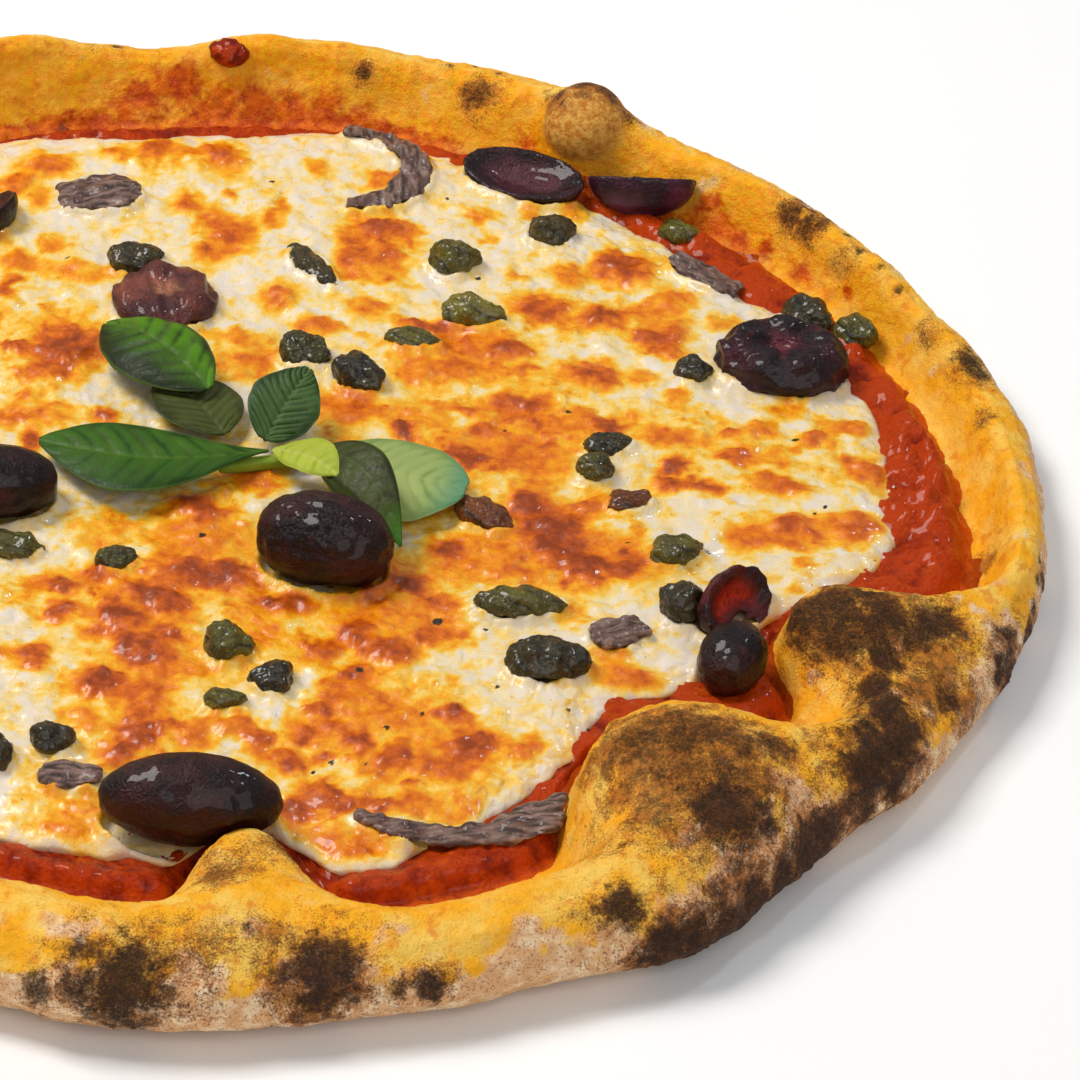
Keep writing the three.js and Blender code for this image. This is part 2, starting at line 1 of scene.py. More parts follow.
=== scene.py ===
"""The looks of a whole baked pizza: browned and charred dough, wet tomato, melted cheese and its toppings.

Lengths in this script are in millimetres, in the frame of the model, and turn into metres where a mesh is made.
The photograph is taken from -Y, so +X is to its right and +Y is away from it.
"""
import math

import bmesh
import bpy
import numpy as np
from mathutils import Matrix, Vector
from mathutils.bvhtree import BVHTree


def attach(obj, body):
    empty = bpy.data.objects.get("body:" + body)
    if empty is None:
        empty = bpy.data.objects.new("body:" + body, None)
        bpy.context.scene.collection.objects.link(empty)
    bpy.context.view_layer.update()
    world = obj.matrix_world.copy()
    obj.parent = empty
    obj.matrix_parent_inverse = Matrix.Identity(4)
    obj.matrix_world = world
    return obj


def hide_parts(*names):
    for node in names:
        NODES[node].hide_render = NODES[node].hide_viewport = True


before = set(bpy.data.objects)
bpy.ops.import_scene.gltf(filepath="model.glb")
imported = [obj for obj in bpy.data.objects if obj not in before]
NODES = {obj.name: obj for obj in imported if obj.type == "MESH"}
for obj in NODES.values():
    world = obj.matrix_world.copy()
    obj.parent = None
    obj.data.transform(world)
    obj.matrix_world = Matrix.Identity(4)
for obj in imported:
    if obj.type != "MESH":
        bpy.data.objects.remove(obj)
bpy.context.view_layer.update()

MM = 0.001

# ---------------------------------------------------------------- places seen in the photograph

# Scorched places of the rim: x, y, z, radius, share of char, share of brown.
DOUGH_SPOTS = [
    (-5, -150, 13.2, 7.6, 1, 0.8), (-11, -150, 12.1, 4.2, 0.7, 0.6), (-19, -149, 10.5, 2.7, 0.9, 0.5),
    (28, -142, 12.7, 6.5, 1, 1), (26, -140, 14.6, 4.2, 0.8, 0.6), (41, -141, 9.9, 2.3, 0.9, 0.6),
    (46, -140, 9.2, 2.7, 1, 0.7), (9, -150, 9.8, 1.9, 0.2, 0.5), (8, -142, 16.8, 4.2, 0, 0.7),
    (3, -146, 15.9, 3.8, 0, 0.7), (-2, -142, 18, 2.3, 0, 0.6), (19, -137, 16.1, 2.5, 0.2, 0.8),
    (15, -136, 16.9, 0.6, 1, 0), (10, -121, 14.5, 4.2, 0.5, 0.8), (19, -109, 12.1, 3, 0.7, 0.8),
    (6, -115, 13.5, 2.3, 0.3, 0.7), (14, -114, 14.5, 3.8, 0, 0.6), (77, -123, 16.1, 4, 1, 0.7),
    (77, -110, 18.6, 1.3, 0.7, 0.5), (77, -104, 18.6, 1.3, 0.4, 0.6), (77, -85, 22.5, 4.6, 0.6, 0.8),
    (86, -86, 23.9, 4.6, 0.7, 0.8), (93, -87, 23.8, 3.4, 0.5, 0.7), (97, -86, 22.8, 1.9, 0.7, 0.5),
    (81, -94, 22.3, 2.7, 0.6, 0.7), (88, -97, 22.5, 6.8, 0.2, 0.9), (93, -99, 20.3, 4.6, 1, 0.9),
    (100, -99, 18, 2.7, 0.7, 0.5), (89, -110, 18.3, 3.8, 0.2, 0.7), (73, -107, 14.6, 5.7, 0, 0.5),
    (82, -126, 6.7, 1.7, 1, 0.4), (86, -123, 5.9, 2.1, 1, 0.4), (90, -121, 6.3, 2.5, 1, 0.5),
    (95, -117, 5.9, 2.9, 1, 0.5), (98, -112, 5.7, 3.2, 1, 0.5), (102, -107, 5.6, 3, 1, 0.5),
    (106, -101, 5.3, 2.5, 1, 0.5), (109, -96, 4.5, 2.3, 0.9, 0.5), (111, -94, 6.4, 1.5, 0.9, 0.4),
    (109, -42, 18.4, 4.9, 0.8, 1), (115, -40, 20, 5.7, 0.9, 1), (121, -41, 19.2, 4.9, 0.9, 1),
    (129, -40, 17, 3.8, 0.9, 0.8), (133, -38, 16.3, 2.7, 0.8, 0.7), (122, -50, 15.3, 3.4, 0.8, 0.8),
    (122, -59, 16.1, 3.4, 0.8, 0.8), (122, -74, 15.6, 6.1, 1, 0.8), (120, -79, 13.9, 4.2, 1, 0.7),
    (126, -69, 15, 3.4, 1, 0.6), (132, -49, 14.5, 5.3, 0.1, 0.9), (128, -56, 15, 3, 0.2, 0.9),
    (134, -54, 12.7, 2.7, 0.8, 0.7), (143, -40, 10.9, 1.5, 1, 0.5), (143, -42, 8.7, 1.7, 1, 0.5),
    (145, -33, 11.7, 1.9, 0.9, 0.5), (149, -26, 8.1, 1.7, 0.9, 0.5), (151, -21, 9.5, 1.5, 0.9, 0.5),
    (152, -14, 10.3, 1.3, 0.9, 0.5), (152, -8, 10.6, 1.1, 0.8, 0.5), (110, -87, 16, 1.9, 0.1, 0.7),
    (109, -78, 18, 1.9, 0, 0.7), (109, -91, 15.5, 0.8, 0.3, 0.6), (139, 52, 13.6, 2.9, 0.9, 0.8),
    (141, 49, 13.1, 2.7, 0.9, 0.7), (139, 56, 13.3, 1.7, 0.8, 0.6), (104, 99, 13.5, 2.5, 0.7, 0.9),
    (108, 96, 14.1, 2.9, 0.8, 0.9), (111, 97, 14.1, 1.5, 0.5, 0.7), (115, 92, 13.8, 0.9, 0.9, 0.5),
    (118, 86, 14.5, 0.9, 0.9, 0.5), (122, 80, 14, 0.9, 0.9, 0.5), (126, 74, 13.4, 1.1, 0.8, 0.5),
    (142, 36, 12, 1.7, 0.2, 0.7), (142, -3, 4.7, 1.9, 0.2, 0.8), (132, 61, 12.4, 1.9, 0.1, 0.7),
    (115, 85, 12, 2.7, 0, 0.6), (55, 125, 21.3, 3, 0.6, 0.9), (59, 126, 22.6, 3.4, 0.6, 0.9),
    (65, 125, 21.6, 3, 0.7, 0.9), (68, 123, 17.7, 2.3, 0.6, 0.8), (14, 138, 14.7, 1.3, 0.8, 0.7),
    (38, 133, 14.3, 2.7, 0.6, 0.9), (-49, 133, 17.1, 0.9, 0.9, 0.5), (-43, 135, 16.3, 0.9, 0.9, 0.5),
    (-38, 137, 16.4, 0.9, 0.9, 0.5), (32, 139, 17.4, 0.9, 0.9, 0.5), (37, 141, 16.1, 0.9, 0.9, 0.5),
    (42, 138, 16.9, 0.9, 0.9, 0.5), (87, -120, 3, 4, 1, 1), (91, -117, 3, 5.5, 1, 1), (97, -112, 3.5, 6, 1, 1),
    (103, -105, 4, 6, 1, 1), (108, -98, 4.5, 6, 1, 1), (112, -94, 6, 4.5, 1, 1), (144, -37, 7, 4.5, 1, 1),
    (147, -26, 5, 3.5, 1, 1), (152, -10, 5, 3.2, 1, 1), (122, -76, 12, 6, 1, 1), (119, -79, 10, 4, 1, 1),
    (86, -124, 8, 5, 1, 1), (91, -121, 8, 6, 1, 1), (96, -117, 8, 6.5, 1, 1), (101, -110, 8, 6.5, 1, 1),
    (105, -104, 8, 6, 1, 1), (109, -98, 9, 5.5, 1, 1), (112, -93, 10, 4.5, 1, 1), (98, -111, 12, 4, 0.5, 1),
    (74, -87, 21, 5, 0.3, 1), (79, -85, 23, 6, 0.55, 1), (84, -83, 24, 6, 0.6, 1), (90, -83, 24, 6.5, 0.65, 1),
    (95, -85, 24, 6, 0.5, 1), (81, -92, 23, 7, 0.3, 1), (86, -92, 24, 7, 0.45, 1), (92, -92, 23, 7, 0.5, 1),
    (97, -93, 22, 6, 0.5, 1), (83, -99, 21, 7, 0.15, 0.9), (88, -98, 22, 7, 0.3, 0.9), (94, -99, 20, 7, 1, 1),
    (99, -100, 19, 5.5, 0.9, 1), (88, -103, 19, 6, 0.1, 0.8), (80, -104, 19, 4, 0.1, 0.7),
    (96, -103, 17, 5, 0.2, 0.8), (77, -96, 20, 3.5, 0.2, 0.8), (102, -82, 21, 3, 0.8, 1), (119, -79, 15, 6, 1, 1),
    (122, -73, 16, 6, 1, 1), (125, -67, 16, 5, 1, 1), (119, -83, 11, 5, 0.9, 1), (107, -41, 17, 4.5, 0.9, 1),
    (110, -40, 19, 5, 0.9, 1), (114, -37, 20, 5, 0.8, 1), (118, -35, 20, 5, 0.9, 1), (121, -38, 20, 5, 0.9, 1),
    (124, -41, 18, 4.5, 0.9, 1), (120, -44, 18, 4.5, 0.9, 1), (116, -45, 18, 4.5, 0.8, 1),
    (112, -45, 17, 4.5, 0.8, 1), (127, -42, 17, 4, 0.9, 1), (131, -38, 17, 4, 1, 1), (133, -36, 16, 3.5, 0.9, 1),
    (122, -49, 15, 4, 1, 1), (121, -56, 16, 4, 1, 1), (122, -63, 16, 4.5, 1, 1), (124, -70, 16, 5, 1, 1),
    (122, -75, 15, 5.5, 1, 1), (120, -80, 14, 5, 1, 1), (125, -72, 14, 4.5, 1, 1), (129, -55, 15, 3.5, 0.4, 1),
    (134, -53, 13, 3.5, 0.5, 1), (136, -53, 11, 3.5, 0.5, 1), (132, -45, 15, 5, 0.1, 0.9),
    (128, -47, 15, 4, 0.1, 0.8), (126, -33, 18, 3, 0.2, 0.8),
]

# Tomato smeared up the inside of the rim: x, y, z, radius.
SMEARS = [
    (-39, 124, 4, 4.2), (-30, 130, 9, 4.6), (-23, 133, 11, 3.8), (-35, 128, 7, 3), (-15, 132, 6, 4.6),
    (-8, 133, 6, 4.6), (-1, 133, 6, 4.6), (7, 133, 6, 4.2), (14, 133, 6, 3), (19, 132, 5, 2.3), (49, 125, 8, 2.3),
    (54, 119, 10, 2.3), (59, 116, 10, 2.7), (87, 108, 8, 2.7), (90, 105, 6, 2.7), (94, 101, 5, 1.9),
    (100, 98, 6, 1.7), (107, 90, 5, 2.3), (116, 81, 8, 1.7),
]

# Browned and oily places of the cheese: x, y, half width, half depth, share of toast, share of oil.
CHEESE_SPOTS = [
    (-48, 104, 4.6, 4.4, 0.5, 0.8), (-48, 90, 1.7, 2.9, 0, 0.9), (-35, 110, 4.2, 2.5, 0.5, 0.5),
    (-27, 115, 2.5, 5.1, 0.7, 0.5), (-21, 113, 2.7, 1.9, 0, 0.8), (-13, 112, 3.4, 5.1, 0.6, 0.6),
    (7, 111, 3.2, 3.2, 0.6, 0.4), (-18, 94, 3.8, 3.5, 0.8, 0.5), (-10, 98, 1.7, 1.9, 0.8, 0.2),
    (-12, 90, 2.7, 2.5, 0.1, 1), (-8, 85, 4.2, 5.1, 0.6, 0.7), (-10, 78, 2.7, 2.9, 0, 1),
    (-43, 76, 2.7, 2.5, 0.3, 0.8), (-49, 68, 3.8, 2.5, 0.3, 0.9), (-50, 59, 1.9, 4.4, 0.9, 0.6),
    (-35, 66, 6.8, 2.9, 0, 0.8), (3, 63, 4.8, 3.8, 0.7, 0.5), (0, 93, 1.7, 5.1, 0, 1), (-36, 40, 5.7, 6.3, 0.9, 0.9),
    (-46, 38, 3, 2.2, 0.9, 0.6), (-39, 31, 4.2, 3.8, 0.6, 0.8), (1, 41, 3, 3.8, 0.5, 0.9),
    (-4, 48, 4.9, 2.2, 0.2, 0.9), (12, 54, 4.2, 2.5, 0.5, 0.8), (-43, 23, 2.3, 1.9, 0.5, 0.4),
    (21, 90, 4.6, 3.8, 0.9, 0.8), (16, 80, 2.7, 4.4, 0.6, 0.8), (23, 80, 4.2, 3.8, 0.7, 0.7),
    (19, 73, 5.7, 2.2, 0.1, 0.9), (28, 89, 2.3, 2.5, 0.2, 0.8), (21, 61, 2.9, 3.2, 0.1, 0.9),
    (21, 108, 3.4, 3.2, 0.3, 0.9), (41, 97, 3, 2.5, 0.1, 0.8), (43, 89, 1.5, 1.6, 0.5, 0.4),
    (49, 77, 2.5, 2.2, 0.6, 0.4), (52, 99, 2.3, 1.9, 0.1, 0.7), (61, 104, 2.5, 4.1, 0.1, 0.9),
    (60, 79, 3, 2.9, 0.1, 0.9), (71, 83, 6.1, 6.3, 1, 0.9), (55, 66, 4.9, 4.4, 0.9, 0.7),
    (67, 64, 4.2, 3.8, 0.8, 0.8), (76, 68, 4.2, 2.5, 0.2, 0.8), (78, 59, 4.9, 2.9, 0.5, 0.8),
    (41, 52, 6.1, 4.4, 0.1, 1), (50, 51, 3.8, 3.8, 0.8, 0.8), (33, 41, 4.6, 4.4, 0.1, 1), (42, 44, 5.7, 2.9, 0.1, 1),
    (66, 45, 4.9, 3.8, 0.7, 0.9), (76, 45, 2.3, 2.5, 0.4, 0.6), (33, 57, 5.3, 2.2, 1, 0.9),
    (81, 72, 3.4, 3.8, 0.3, 0.9), (91, 66, 2.7, 2.5, 0.6, 0.4), (81, 60, 4.2, 5.1, 0.2, 0.9),
    (81, 54, 3, 1.9, 0.7, 0.6), (84, 40, 2.3, 2.2, 0, 0.9), (100, 31, 2.9, 2.9, 0.8, 0.4),
    (94, 28, 2.9, 1.6, 0.7, 0.3), (95, 21, 3.8, 2.5, 0.7, 0.5), (82, 26, 5.7, 2.5, 0.3, 0.9),
    (84, 17, 2.7, 3.2, 0.9, 1), (86, 10, 6.8, 1.9, 0.8, 0.9), (102, 13, 5.7, 3.2, 0.9, 0.5),
    (110, 30, 3.8, 2.9, 0.8, 0.6), (116, 35, 4.6, 2.5, 0.8, 0.5), (106, 26, 1.5, 1.9, 0.6, 0.4),
    (121, 21, 3.8, 4.1, 0.7, 0.8), (118, 2, 4.6, 4.4, 0.4, 1), (98, -4, 3.8, 3.8, 0.4, 1),
    (107, 1, 4.9, 3.2, 0.8, 0.7), (105, -5, 3.4, 1.9, 0.6, 0.6), (107, -11, 1.5, 2.2, 0.6, 0.4),
    (107, -18, 1.1, 1.6, 0, 0.9), (105, 39, 3, 2.5, 0, 0.9), (103, 22, 1.9, 2.5, 0, 0.8),
    (-26, 18, 2.7, 2.9, 0.8, 0.6), (-44, 15, 3, 2.5, 0.4, 0.8), (-39, 8, 2.3, 3.2, 0.9, 0.9),
    (-35, 17, 3.8, 2.5, 0.1, 0.6), (-6, -9, 4.9, 3.8, 0.8, 1), (3, 2, 5.7, 3.8, 0.4, 1), (-3, -17, 6.8, 5.7, 0.1, 1),
    (-2, -29, 7.6, 4.4, 0.9, 1), (-9, -28, 2.7, 3.8, 0, 1), (-23, -32, 3.4, 3.2, 0.7, 0.8),
    (-28, -36, 3, 2.2, 0.9, 0.7), (-27, -44, 2.3, 2.9, 0.7, 0.6), (-16, -44, 4.6, 4.4, 1, 1),
    (-12, -36, 4.9, 3.2, 0.9, 1), (-8, -39, 4.2, 3.8, 0.7, 0.8), (-11, -52, 4.6, 4.4, 0.8, 1),
    (-7, -48, 2.7, 3.2, 0.6, 0.8), (-31, -57, 3, 3.2, 0.9, 0.7), (-36, -58, 2.3, 2.2, 0, 1),
    (10, -45, 2.7, 4.4, 0, 0.9), (13, -36, 4.9, 2.5, 0.9, 0.9), (21, -47, 3.4, 3.2, 0.6, 0.8),
    (20, 27, 7.6, 4.4, 0.3, 1), (30, 21, 2.3, 2.5, 1, 0.9), (43, 30, 2.3, 2.5, 0.7, 0.8),
    (52, 33, 4.6, 2.5, 0.7, 0.9), (47, 23, 4.2, 2.5, 0.7, 0.9), (42, 14, 3.8, 3.8, 0.9, 1),
    (51, 16, 8.7, 5.7, 0.2, 1), (70, 28, 3.4, 2.5, 0.7, 0.8), (60, 27, 9.5, 3.2, 0.2, 0.8), (56, 1, 3.4, 3.2, 0.9, 1),
    (61, -8, 5.3, 7, 1, 1), (67, 1, 4.2, 3.2, 0.6, 0.9), (67, -17, 5.3, 4.4, 1, 1), (70, -10, 5.7, 3.8, 0.2, 1),
    (76, -17, 4.9, 3.8, 0.6, 1), (42, -16, 3, 2.9, 0.8, 1), (34, -28, 3.4, 3.5, 1, 1), (28, -31, 3, 2.5, 0.6, 0.9),
    (41, -32, 2.7, 2.5, 0.6, 0.7), (27, -42, 3, 3.8, 0.9, 1), (33, -48, 4.9, 3.8, 0.9, 0.9),
    (41, -42, 4.2, 2.5, 0.5, 0.8), (46, -41, 1.9, 1.9, 0.6, 0.5), (65, -33, 1.9, 2.5, 0, 1),
    (77, -5, 1.9, 1.9, 0.1, 0.9), (28, -22, 9.5, 4.4, 0.1, 0.9), (32, -37, 9.5, 3.8, 0.1, 0.9),
    (35, -2, 6.5, 5.7, 0.1, 1), (55, -14, 9.5, 8.2, 0.1, 0.9), (-17, -64, 4.2, 3.8, 0.9, 0.8),
    (-22, -64, 2.7, 2.5, 0.1, 0.9), (-10, -66, 4.6, 3.8, 0.4, 1), (-8, -73, 4.6, 4.4, 0.4, 1),
    (-9, -78, 2.7, 2.9, 0.7, 0.8), (-12, -83, 3.4, 3.8, 0.9, 0.9), (-20, -74, 2.7, 2.2, 0, 1),
    (6, -72, 3.8, 2.9, 0.8, 0.8), (1, -76, 3, 2.9, 0.3, 1), (11, -76, 2.7, 3.8, 0.7, 0.9),
    (17, -81, 3.8, 3.2, 0.7, 0.9), (22, -66, 3.4, 2.5, 0.8, 0.5), (20, -73, 3, 1.9, 0.6, 0.6),
    (24, -78, 2.3, 1.9, 0.6, 0.4), (24, -90, 3.4, 4.4, 0.6, 0.9), (20, -95, 3, 3.2, 0.7, 1),
    (24, -102, 4.2, 3.2, 0.1, 1), (-20, -106, 5.3, 3.8, 0.4, 0.9), (-15, -100, 2.3, 3.2, 0.1, 0.8),
    (24, -61, 2.7, 3.2, 0.5, 0.5), (-7, -57, 6.5, 3.8, 0.3, 1), (28, -55, 2.7, 3.2, 0.6, 0.8),
    (30, -63, 4.2, 5.1, 0.1, 0.9), (29, -74, 2.7, 3.5, 1, 0.6), (26, -71, 2.3, 3.2, 0.4, 0.8),
    (36, -78, 3.4, 4.1, 0.7, 0.8), (37, -67, 4.2, 3.8, 0.1, 0.8), (46, -65, 4.2, 2.5, 0.9, 0.7),
    (49, -73, 4.6, 4.4, 0.8, 1), (42, -75, 1.9, 3.8, 0.1, 0.8), (47, -80, 4.9, 2.5, 0.6, 0.9),
    (33, -91, 5.3, 2.5, 0.8, 0.8), (41, -90, 2.7, 2.9, 0.3, 1), (48, -91, 3, 3.8, 0, 1),
    (33, -106, 4.2, 3.8, 0.6, 0.9), (33, -100, 3.8, 2.5, 0, 0.8), (58, -72, 2.7, 3.8, 0.5, 0.8),
    (78, -49, 3.4, 3.8, 0.3, 1), (73, -46, 2.7, 4.4, 0.1, 0.9), (73, -62, 1.9, 2.5, 0, 0.8),
    (68, -71, 1.9, 1.9, 0, 0.9), (27, -92, 1.5, 4.4, 0.8, 0.8),
]

# Where the cheese has turned orange between its browned places: x, y, half width, half depth, share.
WARM_AREAS = [
    (-13, -27, 13, 15, 0.9), (-14, -47, 13, 10, 0.9), (6, -49, 13, 12, 0.5), (-31, -39, 8, 9, 0.55),
    (46, 19, 15, 16, 0.9), (60, 28, 12, 13, 0.6), (34, -33, 13, 12, 0.75), (48, -19, 11, 9, 0.8),
    (63, -17, 11, 9, 0.6), (24, -46, 9, 12, 0.65), (36, 48, 12, 9, 0.85), (50, 46, 10, 10, 0.7),
    (22, 83, 8, 13, 0.95), (-10, 82, 7, 7, 0.6), (-38, 41, 12, 14, 0.75), (-41, 20, 8, 10, 0.55), (-3, 37, 6, 7, 0.6),
    (59, 65, 12, 9, 0.55), (75, 62, 10, 6, 0.5), (84, 31, 15, 7, 0.55), (96, 23, 12, 6, 0.4), (115, 20, 8, 7, 0.5),
    (107, 0, 9, 6, 0.4), (24, -73, 9, 9, 0.9), (11, -86, 5, 4, 0.5), (36, -62, 11, 9, 0.65), (42, -81, 16, 10, 0.65),
    (34, -104, 10, 5, 0.55), (-16, -66, 9, 6, 0.8), (-12, -81, 9, 8, 0.6), (-3, -74, 7, 8, 0.45),
    (-21, -94, 9, 8, 0.5), (58, 0, 11, 10, 0.75), (9, -36, 7, 8, 0.8), (19, 15, 6, 7, 0.6), (34, 26, 8, 9, 0.8),
    (-22, 112, 10, 6, 0.8), (-54, 123, 8, 5, 0.3), (63, -29, 7, 5, 0.35), (77, -13, 7, 4, 0.5), (-25, -16, 7, 8, 0.5),
    (-4, -7, 7, 8, 0.7), (19, -10, 6, 6, 0.4),
]

# Flecks of herb and pepper: x, y, radius.
FLECKS = [
    (42, 75, 0.4), (34, 103, 0.4), (-2, 104, 0.4), (-48, 122, 0.6), (-52, 120, 0.6), (62, 31, 0.5), (-4, -18, 0.5),
    (41, -37, 0.8), (50, -39, 0.4), (-40, 70, 0.4), (53, -55, 0.4), (66, -60, 0.4), (70, -63, 0.4), (40, -65, 0.4),
    (34, -70, 0.4), (31, -81, 0.4), (28, -54, 0.6), (22, -83, 0.4), (25, -80, 0.4), (-20, -115, 0.6), (39, -131, 0.6),
    (15, -136, 0.8), (67, -89, 0.5), (55, -104, 0.4), (39, -104, 0.4), (90, -10, 0.4), (110, 5, 0.4), (112, 7, 0.4),
    (106, 29, 0.6), (50, 24, 0.4), (75, -9, 0.4), (145, 18, 0.4),
]

# What the photograph cuts off is drawn by rule: the cheese beyond this x, and the rim between these bearings.
UNSEEN_X = -58
UNSEEN_BEARINGS = (126, 243)
UNSEEN_RIM_SPOTS, UNSEEN_CHEESE_SPOTS, UNSEEN_WARM_AREAS = 30, 75, 26

# ---------------------------------------------------------------- numbers on arrays of points


SEED_SHIFT = 31.7  # how far the noises of two seeds lie apart
NOISE_GAIN = 1.6  # brings the noise near -1 and 1
OCTAVE_FADE = 1.7  # each finer noise is weaker by this
LUMP_SCATTER = 0.42  # how far a lump strays from the middle of its cell


def smooth_step(low, high, value):
    share = np.clip((value - low) / (high - low), 0, 1)
    return share * share * (3 - 2 * share)


def mix(a, b, share):
    return a + (b - a) * share


def lattice(cell, seed):
    """Three numbers from -1 to 1 for each cell of an endless grid, the same ones each time."""
    bits = (cell[:, 0] * 73856093) ^ (cell[:, 1] * 19349663) ^ (cell[:, 2] * 83492791) ^ (seed * 2654435761)
    for _ in range(2):
        bits &= 0xFFFFFFFF
        bits = (bits ^ (bits >> 16)) * 0x45D9F3B
    bits = (bits ^ (bits >> 16)) & 0xFFFFFFFF
    return np.stack([bits & 1023, (bits >> 10) & 1023, (bits >> 20) & 1023], 1) / 511.5 - 1


def noise(points, size, seed, stretch=(1, 1, 1)):
    """Soft bumps of a size in millimetres, from about -1 to 1, at an array of points."""
    place = points / (size * np.asarray(stretch, float)) + SEED_SHIFT * seed
    cell = np.floor(place).astype(np.int64)
    inside = place - cell
    ease = inside**3 * (inside * (6 * inside - 15) + 10)
    total = np.zeros(len(points))
    for corner in np.ndindex(2, 2, 2):
        step = np.array(corner)
        weight = np.prod(np.where(step, ease, 1 - ease), axis=1)
        total += weight * np.sum(lattice(cell + step, seed) * (inside - step), axis=1)
    return NOISE_GAIN * total


def rough(points, size, seed, octaves=3, stretch=(1, 1, 1)):
    """Noise with finer noise on it."""
    total = np.zeros(len(points))
    for octave in range(octaves):
        total += noise(points, size / 2**octave, seed + octave, stretch) / OCTAVE_FADE**octave
    return total


def joined(parts):
    """Shares that add up where they meet, without passing 1."""
    return 1 - np.prod(1 - np.clip(parts, 0, 1), axis=0)


def lumps(points, size, seed):
    """Distance to the nearest of a scatter of centres, in units of their spacing, on the flat."""
    place = points[:, :2] / size
    home = np.floor(place).astype(np.int64)
    nearest = np.full(len(points), 9.0)
    for step in np.ndindex(3, 3):
        cell = np.column_stack([home + np.array(step) - 1, np.full(len(points), seed)])
        centre = cell[:, :2] + 0.5 + LUMP_SCATTER * lattice(cell, seed)[:, :2]
        nearest = np.minimum(nearest, np.linalg.norm(place - centre, axis=1))
    return nearest


def layered(points, *layers):
    """Noise of several kinds on each other, each with its share, size and seed and maybe a stretch."""
    return sum(share * noise(points, size, *others) for share, size, *others in layers)


def blurred(rows, sigma, axis, wrap=False):
    """An array smoothed along one axis. The ends repeat, or meet where wrap is set."""
    reach = int(3 * sigma) + 1
    taps = np.exp(-0.5 * (np.arange(-reach, reach + 1) / sigma) ** 2)
    padding = [(0, 0)] * rows.ndim
    padding[axis] = (reach, reach)
    padded = np.pad(rows, padding, "wrap" if wrap else "edge")
    taps /= taps.sum()
    places = np.arange(rows.shape[axis])
    return sum(tap * np.take(padded, places + i, axis) for i, tap in enumerate(taps))


# ---------------------------------------------------------------- meshes


def tree_of(*names):
    """The shape of some nodes, in millimetres, to cast rays on."""
    corners, faces = [], []
    for name in names:
        mesh = NODES[name].data
        faces += [[len(corners) + i for i in polygon.vertices] for polygon in mesh.polygons]
        corners += [vertex.co / MM for vertex in mesh.vertices]
    return BVHTree.FromPolygons(corners, faces)


def tree_from(points, faces):
    return BVHTree.FromPolygons([Vector(p) for p in points], faces.tolist())


SKY = 60  # rays that look down start here


def heights(tree, x, y, missing=np.nan):
    """The height of the topmost surface at each place."""
    found = np.full(len(x), missing, float)
    down = Vector((0, 0, -1))
    for i, (a, b) in enumerate(zip(x, y)):
        place = tree.ray_cast(Vector((a, b, SKY)), down)[0]
        if place is not None:
            found[i] = place.z
    return found


def finish_piece(name, mesh, material, node, values):
    """A piece that lies still with the pizza and stands for a node. Its material reads the values at each point."""
    mesh.name = name
    mesh.polygons.foreach_set("use_smooth", np.ones(len(mesh.polygons), bool))
    for key, numbers in values.items():
        mesh.attributes.new(key, "FLOAT", "POINT").data.foreach_set("value", np.asarray(numbers, np.float32))
    mesh.materials.clear()
    mesh.materials.append(material)
    piece = bpy.data.objects.new(name, mesh)
    bpy.context.scene.collection.objects.link(piece)
    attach(piece, "root")
    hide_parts(node)


def new_mesh(points, quads, caps=()):
    """A mesh from millimetres. quads is an array of four corners each, and caps are faces of many corners."""
    mesh = bpy.data.meshes.new("new")
    mesh.from_pydata((points * MM).tolist(), [], quads.tolist() + [cap.tolist() for cap in caps])
    return mesh


def grid_quads(rows, columns, closed_rows=False):
    """Faces between neighbouring points of a grid. Its first row follows its last one where closed_rows is set."""
    i, j = np.meshgrid(np.arange(rows if closed_rows else rows - 1), np.arange(columns - 1), indexing="ij")
    here, below = i * columns + j, (i + 1) % rows * columns + j
    return np.stack([here, below, below + 1, here + 1], -1).reshape(-1, 4)


def border_of(index):
    """The point numbers round the outside of a grid of them."""
    return np.concatenate([index[:-1, 0], index[-1, :-1], index[:0:-1, -1], index[0, :0:-1]])


def ring_quads(upper, lower):
    """Faces between two closed lines of points."""
    return np.stack([upper, lower, np.roll(lower, -1), np.roll(upper, -1)], 1)


def grid_normals(grid, wrap):
    """Outward directions of a grid of points. Its rows go round anticlockwise, its columns over the top."""
    along = np.roll(grid, -1, 0) - np.roll(grid, 1, 0) if wrap else np.gradient(grid, axis=0)
    across = np.gradient(grid, axis=1)
    normal = np.cross(along, across)
    return normal / np.maximum(np.linalg.norm(normal, axis=2, keepdims=True), 1e-9)


# ---------------------------------------------------------------- dough

BASE_LEVEL = 3.2  # top of the dough under the filling
RIM_RADII = np.arange(88, 158, 0.5)  # where the rim's height is read
START_HEIGHT = 0.45  # share of the rim's height at which the rays to its outside start
OUTER_RAYS = 60
CAST_ANGLES = 480
RIM_ANGLES = 1200
OUTER_POINTS = 66
INNER_POINTS = 50
INNER_MARGIN = 5  # the fine mesh ends this far inside the rim's foot
TUCKED_COLUMNS, TUCKED_LEVEL = 10, 1.8  # its innermost points go down under the tomato
FAR_BEARING = 95  # the middle of the far side, which is the most orange

dough_tree = tree_of("dough")


def directions(count):
    angle = np.arange(count) * 2 * np.pi / count
    return np.cos(angle), np.sin(angle)


def evenly(profile, count):
    """The same line through count points at equal steps."""
    length = np.concatenate([[0], np.cumsum(np.linalg.norm(np.diff(profile, axis=0), axis=1))])
    at = np.linspace(0, length[-1], count)
    return np.column_stack([np.interp(at, length, profile[:, k]) for k in (0, 1)])


